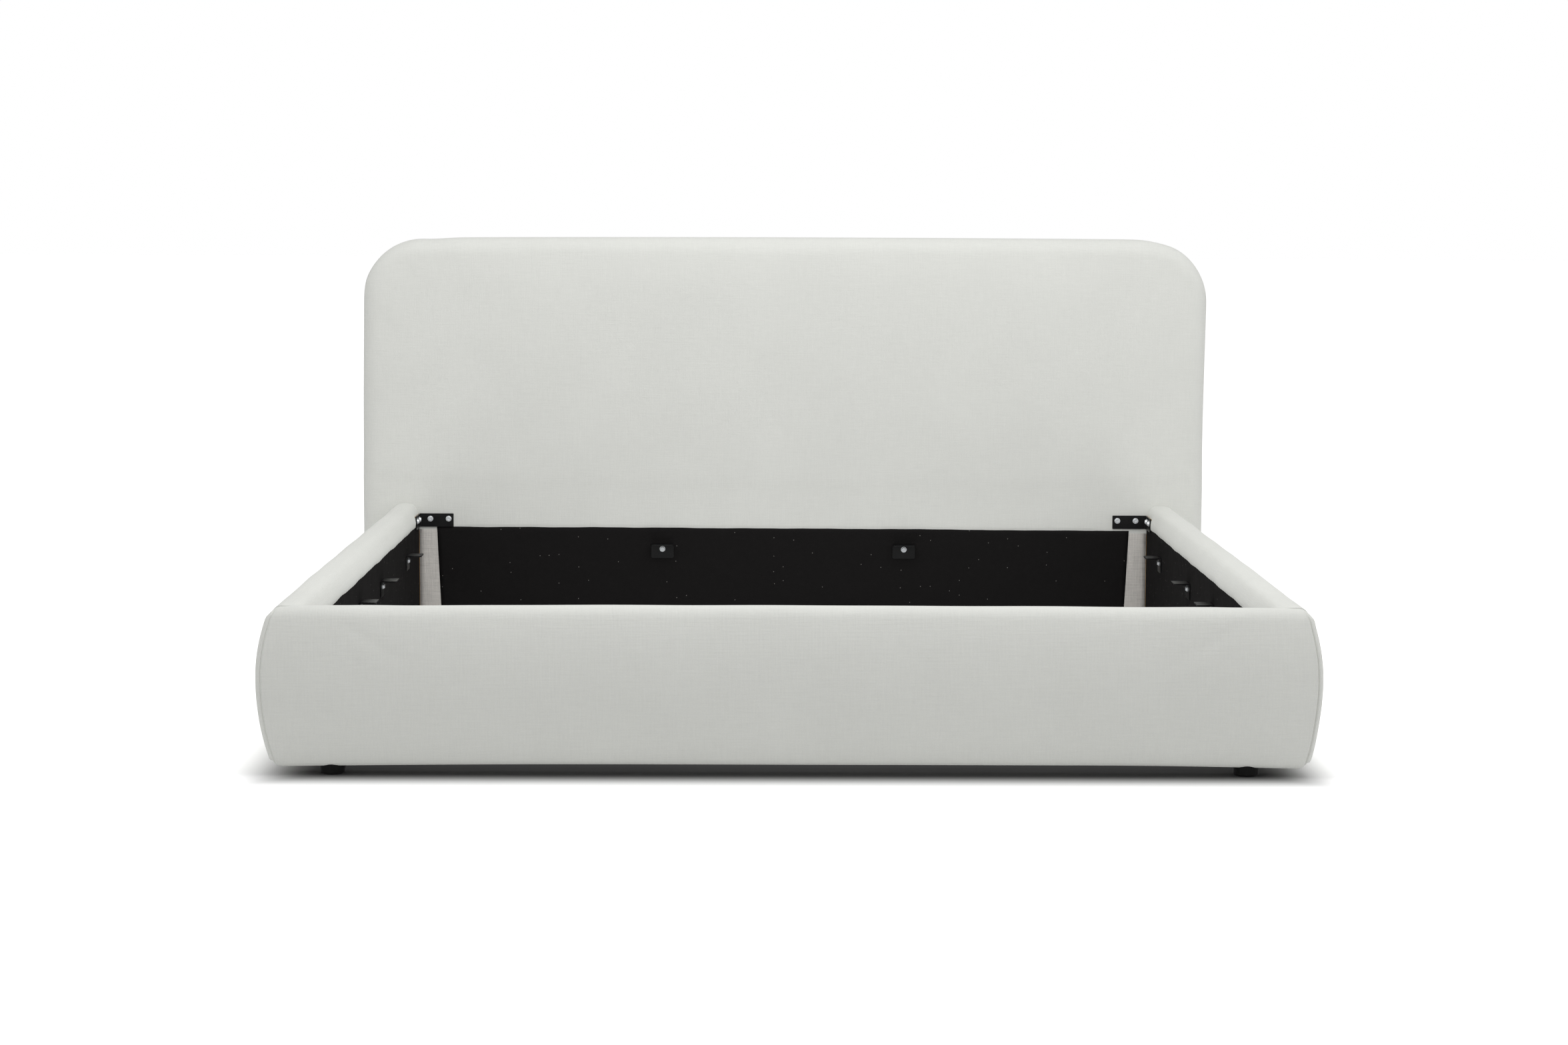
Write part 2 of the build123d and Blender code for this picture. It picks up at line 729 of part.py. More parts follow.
write_pair(mirror(corner_bracket.part, about=head_to_foot), "foot_corner_bracket")

write(make_bolts(head_corner_seats + both_sides(rail_head_seats)), "head_corner_bolts")
write(make_bolts(foot_corner_seats + both_sides(rail_foot_seats)), "foot_corner_bolts")
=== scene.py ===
"""Upholstered king-size bed: soft goods, linings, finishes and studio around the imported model."""

import logging
import math
from collections.abc import Callable
from dataclasses import dataclass, field
from enum import Enum
from functools import partial

import bpy
import numpy as np
from bpy.types import Material, Node, NodeSocket, NodeTree, Object
from mathutils import Matrix, Vector


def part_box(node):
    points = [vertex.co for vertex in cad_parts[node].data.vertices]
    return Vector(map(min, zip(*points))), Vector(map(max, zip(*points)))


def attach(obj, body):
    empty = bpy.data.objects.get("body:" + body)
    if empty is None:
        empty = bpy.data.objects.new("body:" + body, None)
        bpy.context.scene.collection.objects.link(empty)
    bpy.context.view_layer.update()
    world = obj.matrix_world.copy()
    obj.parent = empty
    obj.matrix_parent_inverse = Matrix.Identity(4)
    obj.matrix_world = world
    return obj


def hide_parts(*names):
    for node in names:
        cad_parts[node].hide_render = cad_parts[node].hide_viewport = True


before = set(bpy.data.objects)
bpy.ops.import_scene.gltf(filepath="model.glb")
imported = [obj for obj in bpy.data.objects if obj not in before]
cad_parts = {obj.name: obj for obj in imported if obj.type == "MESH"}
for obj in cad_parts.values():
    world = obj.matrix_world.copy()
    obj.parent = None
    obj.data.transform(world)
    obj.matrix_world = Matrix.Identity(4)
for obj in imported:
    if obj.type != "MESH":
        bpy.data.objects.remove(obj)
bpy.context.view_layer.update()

log = logging.getLogger("bed")

BODY = "root"
MM = 0.001
CLOTH_THICKNESS = 0.8 * MM
SHEET_CELL = 12 * MM
Array = np.ndarray
Pair = tuple[float, float]
Triple = tuple[float, float, float]


class Side(Enum):
    """Side of the bed as seen from its foot; the value is the sign of X."""

    LEFT = -1
    RIGHT = 1


class Wall(Enum):
    """The six walls of a lattice: along its length, its height and its depth."""

    START = (0, False)
    END = (0, True)
    BOTTOM = (1, False)
    TOP = (1, True)
    INNER = (2, False)
    OUTER = (2, True)


# Small sums


def linear(code: str) -> tuple[float, float, float, float]:
    """Turn an sRGB hex colour into linear RGBA.

    Args:
        code: Six hex digits after a hash sign.

    Returns:
        Linear red, green, blue and an alpha of one.
    """
    channels = [int(code[place : place + 2], 16) / 255 for place in (1, 3, 5)]
    red, green, blue = (
        value / 12.92 if value <= 0.04045 else ((value + 0.055) / 1.055) ** 2.4
        for value in channels
    )
    return (red, green, blue, 1.0)


def ease(value: Array, low: float, high: float) -> Array:
    """Smooth step from 0 at low to 1 at high."""
    share = np.clip((value - low) / (high - low), 0, 1)
    return share * share * (3 - 2 * share)


def hump(value: Array, place: float, width: float) -> Array:
    """Bell curve of height 1 at a place."""
    return np.exp(-(((value - place) / width) ** 2))


@dataclass(frozen=True)
class Waves:
    """Hand-made unevenness along a line: a few sine waves with seeded phases, in metres."""

    size: float
    lengths: tuple[float, ...]
    seed: int

    def at(self, place: Array, variant: int = 0) -> Array:
        """Unevenness at places along the line, within the size on both sides of zero.

        Args:
            place: Distances along the line.
            variant: Added to the seed, for another piece of the same kind.

        Returns:
            One value for each place.
        """
        draw = np.random.default_rng(self.seed + variant)
        phases = draw.uniform(0, 2 * math.pi, len(self.lengths))
        turns = (2 * math.pi * place / length for length in self.lengths)
        waves = [np.sin(turn + phase) for turn, phase in zip(turns, phases)]
        return self.size * (sum(waves) / len(waves))


def arc_height(radius: float, across: Array) -> Array:
    """Height of a circle's arc at a distance from its axis."""
    return np.sqrt(np.maximum(radius**2 - across**2, 0))


def quarter_round(distance: Array, radius: float) -> Array:
    """How far a rounded edge falls back at a distance from the face that it ends in."""
    return radius - arc_height(radius, np.clip(radius - distance, 0, radius))


def blended_low(first: Array, second: Array, blend: float) -> Array:
    """Lower of two heights, with the ridge where they meet rounded over the blend."""
    share = np.clip(0.5 + 0.5 * (second - first) / blend, 0, 1)
    return second * (1 - share) + first * share - blend * share * (1 - share)


# Meshes


class Lattice:
    """Surface of a block of cells, which pads and sheets are shaped from."""

    def __init__(self, length: int, height: int, depth: int) -> None:
        """Number the points on the surface of the block.

        Args:
            length: Cells along the first direction.
            height: Cells along the second direction.
            depth: Cells along the third direction.
        """
        self.cells = (length, height, depth)
        places = np.indices((length + 1, height + 1, depth + 1))
        shell = np.zeros(places[0].shape, bool)
        for row, count in zip(places, self.cells):
            shell |= (row == 0) | (row == count)
        self.number = np.full(shell.shape, -1)
        self.number[shell] = np.arange(shell.sum())
        self.step, self.level, self.layer = (row[shell] for row in places)

    def quads(self, wall: Wall) -> Array:
        """Point numbers of one wall's quads, turned outwards.

        Args:
            wall: The wall.

        Returns:
            Rows of four point numbers.
        """
        axis, high = wall.value
        sheet = np.take(self.number, -1 if high else 0, axis=axis)
        corners = (sheet[:-1, :-1], sheet[1:, :-1], sheet[1:, 1:], sheet[:-1, 1:])
        quads = np.stack(corners, axis=-1).reshape(-1, 4)
        return quads[:, ::-1] if high == (axis == 1) else quads


def make_piece(
    name: str, lattice: Lattice, points: Array, cloth: dict[Wall, Array], finish: Material
) -> Object:
    """Make a closed mesh from a shaped lattice, with its own flat cloth coordinates.

    Args:
        name: Name of the new object.
        lattice: The lattice.
        points: Place of each lattice point, in metres.
        cloth: For each wall, the cloth coordinates of every lattice point, in metres.
        finish: Material of the whole piece.

    Returns:
        The new object.
    """
    quads = np.concatenate([lattice.quads(wall) for wall in Wall])
    spread = np.concatenate([cloth[wall][lattice.quads(wall)] for wall in Wall])
    first, second, third, fourth = (points[quads[:, corner]] for corner in range(4))
    volume = np.einsum("ij,ij->", first, np.cross(second, third) + np.cross(third, fourth))
    if volume < 0:
        quads, spread = quads[:, ::-1], spread[:, ::-1]
    mesh = bpy.data.meshes.new(name)
    mesh.from_pydata(points.tolist(), [], quads.tolist())
    layer = mesh.uv_layers.new(name="cloth")
    layer.data.foreach_set("uv", np.ascontiguousarray(spread, dtype=np.float32).ravel())
    mesh.shade_smooth()
    mesh.materials.append(finish)
    return add_object(name, mesh)


def add_object(name: str, data: bpy.types.ID) -> Object:
    """Put an object with a mesh, a lamp or a camera into the scene."""
    piece = bpy.data.objects.new(name, data)
    bpy.context.scene.collection.objects.link(piece)
    return piece


@dataclass(frozen=True)
class Stuffing:
    """Foam that presses a cover outwards, worked out by a cloth simulation."""

    most_swell: float
    pressure: float = 4.0
    last_frame: int = 20
    firmness_steps: int = 10

    def swell(self, piece: Object, held: Array) -> None:
        """Press the cover out where nothing holds it, and keep the result in its mesh.

        Args:
            piece: The cover, a closed mesh.
            held: How firmly each point is held, from 0 to 1.
        """
        mesh = piece.data
        before = np.empty(len(mesh.vertices) * 3, np.float32)
        mesh.vertices.foreach_get("co", before)
        group = piece.vertex_groups.new(name="held")
        for level in range(1, self.firmness_steps + 1):
            chosen = np.flatnonzero(np.round(held * self.firmness_steps) == level)
            group.add(chosen.tolist(), level / self.firmness_steps, "REPLACE")
        cloth = piece.modifiers.new("stuffing", "CLOTH")
        settings = cloth.settings
        settings.quality = 5
        settings.mass = 0.4
        settings.tension_stiffness = settings.compression_stiffness = 20
        settings.shear_stiffness = 8
        settings.bending_stiffness = 0.8
        settings.use_pressure = True
        settings.uniform_pressure_force = self.pressure
        settings.vertex_group_mass = group.name
        settings.effector_weights.gravity = 0
        cloth.collision_settings.use_collision = False
        cloth.point_cache.frame_start = 1
        cloth.point_cache.frame_end = self.last_frame
        scene = bpy.context.scene
        for number in range(1, self.last_frame + 1):
            scene.frame_set(number)
        view = piece.evaluated_get(bpy.context.evaluated_depsgraph_get())
        after = np.empty_like(before)
        view.to_mesh().vertices.foreach_get("co", after)
        view.to_mesh_clear()
        piece.modifiers.clear()
        piece.vertex_groups.clear()
        scene.frame_set(1)
        moves = (after - before).reshape(-1, 3)
        sizes = np.linalg.norm(moves, axis=1, keepdims=True)
        moves *= np.tanh(sizes / self.most_swell) * self.most_swell / np.maximum(sizes, 1e-9)
        mesh.vertices.foreach_set("co", before + moves.ravel())
        mesh.update()
        log.info("%s swelled by up to %.1f mm", piece.name, np.abs(moves).max() / MM)


# Finishes


def add_node(tree: NodeTree, kind: str, inputs: dict | None = None, **settings: object) -> Node:
    """Add a node with its settings, values and links.

    Args:
        tree: The node tree.
        kind: The node's type, such as ShaderNodeMath.
        inputs: For each input's name or number, a value, the output that feeds it, or a
            node whose first output feeds it.
        settings: The node's own settings.

    Returns:
        The new node.
    """
    node = tree.nodes.new(kind)
    for setting, value in settings.items():
        setattr(node, setting, value)
    for place, value in (inputs or {}).items():
        source = value.outputs[0] if isinstance(value, Node) else value
        if isinstance(source, NodeSocket):
            tree.links.new(source, node.inputs[place])
        else:
            node.inputs[place].default_value = value
    return node


def new_material(name: str) -> tuple[Material, Callable[..., Node]]:
    """Start a material with an empty tree, and give what adds a node to that tree."""
    material = bpy.data.materials.new(name)
    material.use_nodes = True
    material.node_tree.nodes.clear()
    return material, partial(add_node, material.node_tree)


@dataclass(frozen=True)
class WovenCover:
    """Polyester plain weave with a linen look: matt, with slubs in both thread directions."""

    name: str
    colour: str
    thread: float
    slub_contrast: float
    fibre_contrast: float
    bump: float
    weave_contrast: float = 0.06
    slub_relief: float = 1.5

    def make(self) -> Material:
        """Build the material.

        Returns:
            The material, which reads the piece's own cloth coordinates.
        """
        material, add = new_material(self.name)
        cloth = add("ShaderNodeUVMap", uv_map="cloth")
        # Spun yarns are uneven, so warp and weft show as streaks two threads wide, 55 mm long
        streaks = []
        across, along = 1 / (2 * self.thread), 18.0
        for scale in ((across, along, 1.0), (along, across, 1.0)):
            stretched = add("ShaderNodeMapping", {"Vector": cloth, "Scale": scale})
            shape = {"Vector": stretched, "Scale": 1.0, "Detail": 3.0, "Roughness": 0.6}
            streaks.append(add("ShaderNodeTexNoise", shape, noise_dimensions="2D"))
        slubs = add("ShaderNodeMath", {0: streaks[0], 1: streaks[1]}, operation="ADD")
        # Single fibres that took the dye unevenly, and clouds of them 200 mm across
        fibres, clouds = (
            add("ShaderNodeTexNoise", {"Vector": cloth, "Scale": scale, "Detail": 2.0},
                noise_dimensions="2D")
            for scale in (0.5 / self.thread, 5.0)
        )
        # Warp and weft cross over and under, drawn at the thread's spacing
        turns = math.pi / self.thread
        counted = add("ShaderNodeVectorMath", {0: cloth, 3: turns}, operation="SCALE")
        parts = add("ShaderNodeSeparateXYZ", {0: counted}).outputs
        waves = [add("ShaderNodeMath", {0: parts[axis]}, operation="SINE") for axis in (0, 1)]
        crossing = add("ShaderNodeMath", {0: waves[0], 1: waves[1]}, operation="MULTIPLY")
        weave = add("ShaderNodeMath", {0: crossing}, operation="ABSOLUTE")
        shade = add("ShaderNodeMath", {0: slubs, 1: 1.0}, operation="SUBTRACT")
        grain = add("ShaderNodeMath", {0: fibres, 1: clouds}, operation="ADD")
        grain = add("ShaderNodeMath", {0: grain, 1: 1.0}, operation="SUBTRACT")
        value = 1.0
        for part, contrast in (
            (shade, self.slub_contrast), (grain, self.fibre_contrast), (weave, self.weave_contrast)
        ):
            terms = {0: part, 1: contrast, 2: value}
            value = add("ShaderNodeMath", terms, operation="MULTIPLY_ADD")
        colour = add("ShaderNodeHueSaturation", {"Color": linear(self.colour), "Value": value})
        height = add("ShaderNodeMath", {0: slubs, 1: self.slub_relief, 2: weave},
                     operation="MULTIPLY_ADD")
        bump = add("ShaderNodeBump", {"Height": height, "Distance": self.bump, "Strength": 1.0})
        shader = add("ShaderNodeBsdfPrincipled", {
            "Base Color": colour, "Roughness": 0.92, "Specular IOR Level": 0.2,
            "Sheen Weight": 0.12, "Sheen Roughness": 0.5, "Normal": bump,
        })
        add("ShaderNodeOutputMaterial", {"Surface": shader})
        return material


@dataclass(frozen=True)
class NonWoven:
    """Spun-bonded polypropylene lining: thin black felt with pressed dimples and caught lint."""

    name: str
    colour: str
    dimple: float
    lint: float
    lint_colour: str = "#8C8A86"
    dimple_relief: float = 0.35
    sag_relief: float = 12.0

    def make(self) -> Material:
        """Build the material.

        Returns:
            The material, which reads the piece's own cloth coordinates.
        """
        material, add = new_material(self.name)
        cloth = add("ShaderNodeUVMap", uv_map="cloth")
        # Fibres lie 1.7 mm apart, coarser than real ones so that they show; sags are 70 mm wide
        fibres = add("ShaderNodeTexNoise", {"Vector": cloth, "Scale": 600.0, "Detail": 3.0,
                     "Distortion": 1.5}, noise_dimensions="2D")
        sags = add("ShaderNodeTexNoise", {"Vector": cloth, "Scale": 14.0, "Detail": 2.0},
                   noise_dimensions="2D")
        # Lint shows as pale dots just under 2 mm across, in a few of the cells 26 mm wide
        dimples, spots = (
            add("ShaderNodeTexVoronoi", {"Vector": cloth, "Scale": scale, "Randomness": stray},
                voronoi_dimensions="2D")
            for scale, stray in ((1 / self.dimple, 0.25), (38.0, 1.0))
        )
        near = add("ShaderNodeMath", {0: spots.outputs["Distance"], 1: 0.035},
                   operation="LESS_THAN")
        chance = add("ShaderNodeSeparateXYZ", {0: spots.outputs["Color"]})
        kept = add("ShaderNodeMath", {0: chance, 1: self.lint}, operation="LESS_THAN")
        lint = add("ShaderNodeMath", {0: near, 1: kept}, operation="MULTIPLY")
        value = add("ShaderNodeMapRange", {"Value": fibres, "To Min": 0.7, "To Max": 1.35})
        black = add("ShaderNodeHueSaturation", {"Color": linear(self.colour), "Value": value})
        colour = add("ShaderNodeMix", {0: lint, 6: black, 7: linear(self.lint_colour)},
                     data_type="RGBA")
        relief = fibres
        for part, share in (
            (dimples.outputs["Distance"], self.dimple_relief), (sags.outputs[0], self.sag_relief)
        ):
            relief = add("ShaderNodeMath", {0: part, 1: share, 2: relief}, operation="MULTIPLY_ADD")
        bump = add("ShaderNodeBump", {"Height": relief, "Distance": 0.3 * MM, "Strength": 1.0})
        shader = add("ShaderNodeBsdfPrincipled", {
            "Base Color": colour.outputs[2], "Roughness": 0.95, "Specular IOR Level": 0.03,
            "Normal": bump,
        })
        add("ShaderNodeOutputMaterial", {"Surface": shader})
        return material


@dataclass(frozen=True)
class HardFinish:
    """Rigid surface: a fine relief, and coarser stains that vary its tone and its gloss.

    Each noise has its scale per metre and its detail.
    """

    name: str
    colour: str
    roughness: float
    relief_noise: Pair
    relief: float
    stain_noise: Pair
    tones: Pair
    dulling: Pair | None = None
    specular: float = 0.5
    metallic: float = 0.0

    def make(self) -> Material:
        """Build the material.

        Returns:
            The material, which reads object coordinates.
        """
        material, add = new_material(self.name)
        place = add("ShaderNodeTexCoord").outputs["Object"]
        fine, stains = (
            add("ShaderNodeTexNoise", {"Vector": place, "Scale": scale, "Detail": detail})
            for scale, detail in (self.relief_noise, self.stain_noise)
        )
        low, high = self.tones
        value = add("ShaderNodeMapRange", {"Value": stains, "To Min": low, "To Max": high})
        colour = add("ShaderNodeHueSaturation", {"Color": linear(self.colour), "Value": value})
        roughness = self.roughness
        if self.dulling:
            low, high = (self.roughness + change for change in self.dulling)
            roughness = add("ShaderNodeMapRange", {"Value": stains, "To Min": low, "To Max": high})
        bump = add("ShaderNodeBump", {"Height": fine, "Distance": self.relief, "Strength": 1.0})
        shader = add("ShaderNodeBsdfPrincipled", {
            "Base Color": colour, "Metallic": self.metallic, "Roughness": roughness,
            "Specular IOR Level": self.specular, "Normal": bump,
        })
        add("ShaderNodeOutputMaterial", {"Surface": shader})
        return material


@dataclass(frozen=True)
class PowderCoat(HardFinish):
    """Steel under black powder coat: baked on, half gloss, orange peel 1.4 mm wide."""

    relief_noise: Pair = (700.0, 2.0)
    relief: float = 0.06 * MM
    stain_noise: Pair = (45.0, 4.0)
    tones: Pair = (0.75, 1.4)
    dulling: Pair | None = (-0.08, 0.12)
    specular: float = 0.3


@dataclass(frozen=True)
class PlatedMetal(HardFinish):
    """Turned or cold-formed metal, thinly plated and bright, with tool marks 0.7 mm apart."""

    relief_noise: Pair = (1400.0, 3.0)
    relief: float = 0.02 * MM
    stain_noise: Pair = (160.0, 3.0)
    tones: Pair = (0.8, 1.1)
    dulling: Pair | None = (-0.1, 0.15)
    metallic: float = 1.0


@dataclass(frozen=True)
class MouldedPlastic(HardFinish):
    """Injection-moulded polypropylene: even, half matt, spark-eroded grain 0.7 mm wide."""

    relief_noise: Pair = (1500.0, 2.0)
    relief: float = 0.04 * MM
    stain_noise: Pair = (60.0, 5.0)
    tones: Pair = (0.8, 1.4)
    specular: float = 0.12


class Grain(Enum):
    """What the hidden timber is; the value is its heart and its late wood."""

    PINE = ("#D9B57E", "#B98B52")
    PLYWOOD = ("#CFAE7F", "#A98555")


@dataclass(frozen=True)
class Timber:
    """Planed softwood or sanded plywood, unfinished: growth rings that show as level bands.

    The bands are 12 mm high and 110 mm long, and the pores are 0.7 mm high and 6 mm long.
    """

    name: str
    grain: Grain

    def make(self) -> Material:
        """Build the material.

        Returns:
            The material, which reads object coordinates.
        """
        material, add = new_material(self.name)
        place = add("ShaderNodeTexCoord").outputs["Object"]
        stretched = add("ShaderNodeMapping", {"Vector": place, "Scale": (1.0, 1.0, 9.0)})
        rings = add("ShaderNodeTexNoise", {"Vector": stretched, "Scale": 9.0, "Detail": 5.0,
                    "Distortion": 0.8})
        pores = add("ShaderNodeTexNoise", {"Vector": stretched, "Scale": 160.0})
        early, late = (linear(code) for code in self.grain.value)
        colour = add("ShaderNodeMix", {0: rings, 6: early, 7: late}, data_type="RGBA")
        bump = add("ShaderNodeBump", {"Height": pores, "Distance": 0.1 * MM, "Strength": 1.0})
        shader = add("ShaderNodeBsdfPrincipled",
                     {"Base Color": colour.outputs[2], "Roughness": 0.7, "Normal": bump})
        add("ShaderNodeOutputMaterial", {"Surface": shader})
        return material


def made(finish: WovenCover | NonWoven | HardFinish | Timber) -> Material:
    """Field that holds a finish's material, built together with the object."""
    return field(default_factory=finish.make)


@dataclass(frozen=True)
class Finishes:
    """Every material of the bed, built once."""

    # Pale undyed cloth: real threads are 0.7 mm apart, drawn at 1.6 mm so that they show
    cover: Material = made(
        WovenCover("plain_weave_cover", "#E2E3DE", 1.6 * MM, 0.06, 0.05, 0.25 * MM)
    )
    # Coarser base cloth on the headboard's hidden strips, threads 1.2 mm apart, drawn at 2 mm
    strip: Material = made(
        WovenCover("coarse_base_cloth", "#E2DED8", 2.0 * MM, 0.3, 0.1, 0.5 * MM)
    )
    lining: Material = made(NonWoven("spun_bonded_lining", "#1D1C1C", 3.0 * MM, 0.12))
    black_steel: Material = made(PowderCoat("black_powder_coat", "#09090A", 0.32))
    zinc: Material = made(PlatedMetal("bright_zinc_plating", "#F0F3F5", 0.45))
    brass: Material = made(PlatedMetal("turned_brass", "#C9A45C", 0.3))
    plastic: Material = made(MouldedPlastic("moulded_polypropylene", "#0A0A0A", 0.5))
    pine: Material = made(Timber("planed_pine", Grain.PINE))
    plywood: Material = made(Timber("sanded_plywood", Grain.PLYWOOD))


# Padded pieces


def make_cover(
    node: str,
    lattice: Lattice,
    points: Array,
    cloth: dict[Wall, Array],
    finish: Material,
    stuffing: Stuffing,
    held: Array,
) -> Object:
    """Make a padded cover, which stands for the cover and the foam of the CAD.

    Args:
        node: Beginning of the names of both CAD nodes.
        lattice: The cover's lattice.
        points: Place of each lattice point.
        cloth: Cloth coordinates for each wall.
        finish: Its material.
        stuffing: What presses it out.
        held: How firmly each point is held, from 0 to 1.

    Returns:
        The new piece.
    """
    cover = make_piece(f"{node}_soft_cover", lattice, points, cloth, finish)
    stuffing.swell(cover, held)
    smooth = cover.modifiers.new("smooth", "SUBSURF")
    smooth.levels = smooth.render_levels = 1
    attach(cover, BODY)
    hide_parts(f"{node}_cover", f"{node}_foam")
    return cover


def make_sheet(
    name: str,
    node: str,
    lattice: Lattice,
    points: Array,
    flat: Array,
    finish: Material,
) -> Object:
    """Make a thin sheet of cloth, stapled round its edge and stretched flat.

    Args:
        name: Name of the new piece.
        node: The CAD node that it stands for.
        lattice: The sheet's lattice, one cell thick.
        points: Place of each lattice point.
        flat: Cloth coordinates of each lattice point.
        finish: Its material.

    Returns:
        The new piece.
    """
    sheet = make_piece(name, lattice, points, dict.fromkeys(Wall, flat), finish)
    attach(sheet, BODY)
    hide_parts(node)
    return sheet


@dataclass(frozen=True)
class PaddedProfile:
    """Upright section of the rails and the footboard, drawn with tangent arcs, in metres.

    Depth runs from the well outwards, height from the floor up.
    """

    thickness: float = 90 * MM
    crest: float = 346 * MM
    clearance: float = 26 * MM
    crown_radius: float = 28 * MM
    crest_flat: float = 10 * MM
    shoulder_radius: float = 32 * MM
    bulge: float = 199 * MM
    toe_tuck: float = 46 * MM
    toe_radius: float = 16 * MM
    heel_radius: float = 6 * MM

    @property
    def shoulder_reach(self) -> float:
        """Depth from the crest's outer edge to the widest point."""
        return self.thickness - self.crown_radius - self.crest_flat

    def flank(self, height: Array, reach: float, rise: float, corner: float) -> Array:
        """Depth that one half of the flank lacks from the widest point.

        Args:
            height: Heights above or below the bulge, both positive.
            reach: How far the half runs back in all.
            rise: How far it rises or drops in all.
            corner: Radius of the arc at its end.

        Returns:
            Distances back from the widest point.
        """
        long = (reach**2 + rise**2 - 2 * rise * corner) / (2 * (reach - corner))
        meeting = long * math.sin(math.atan2(rise - corner, long - reach))
        on_long = long - arc_height(long, height)
        on_corner = reach - arc_height(corner, np.minimum(height, rise) - (rise - corner))
        return np.where(height <= meeting, on_long, on_corner)

    def lack(self, height: Array) -> Array:
        """How far the outer side lies behind the widest point at each height."""
        above, below = (np.maximum(way * (height - self.bulge), 0) for way in (1, -1))
        upper = self.flank(
            above, self.shoulder_reach, self.crest - self.bulge, self.shoulder_radius
        )
        lower = self.flank(below, self.toe_tuck, self.bulge - self.clearance, self.toe_radius)
        return np.where(height > self.bulge, upper, lower)

    def inner(self, height: Array) -> Array:
        """Depth of the inner side at each height: upright, then the crown."""
        above = np.maximum(height - (self.crest - self.crown_radius), 0)
        return self.crown_radius - arc_height(self.crown_radius, above)

    def top(self, depth: Array) -> Array:
        """Height of the upper surface at each depth."""
        crown = np.maximum(self.crown_radius - depth, 0)
        shoulder = np.maximum(depth - self.thickness + self.shoulder_reach, 0)
        on_crown = self.crown_radius - arc_height(self.crown_radius, crown)
        on_shoulder = self.shoulder_radius - arc_height(self.shoulder_radius, shoulder)
        return self.crest - on_crown - on_shoulder

    def bottom(self, depth: Array) -> Array:
        """Height of the under surface at each depth, with the inner edge softened."""
        toe = np.maximum(depth - self.thickness + self.toe_tuck, 0)
        heel = quarter_round(np.maximum(depth, 0), self.heel_radius)
        return self.clearance + self.toe_radius - arc_height(self.toe_radius, toe) + heel

    def levels(self, count: int) -> Array:
        """Heights of the walls' rows, evenly spaced along the flank between its corners.

        Args:
            count: Number of cells between the lowest and the highest row.

        Returns:
            One height more than the count.
        """
        half = math.sqrt(0.5)
        low = self.clearance + self.toe_radius * (1 - half)
        high = self.crest - self.shoulder_radius * (1 - half)
        heights = np.linspace(low, high, 2000)
        steps = np.hypot(np.diff(heights), np.diff(self.lack(heights)))
        run = np.concatenate([[0], np.cumsum(steps)])
        return np.interp(np.linspace(0, run[-1], count + 1), run, heights)


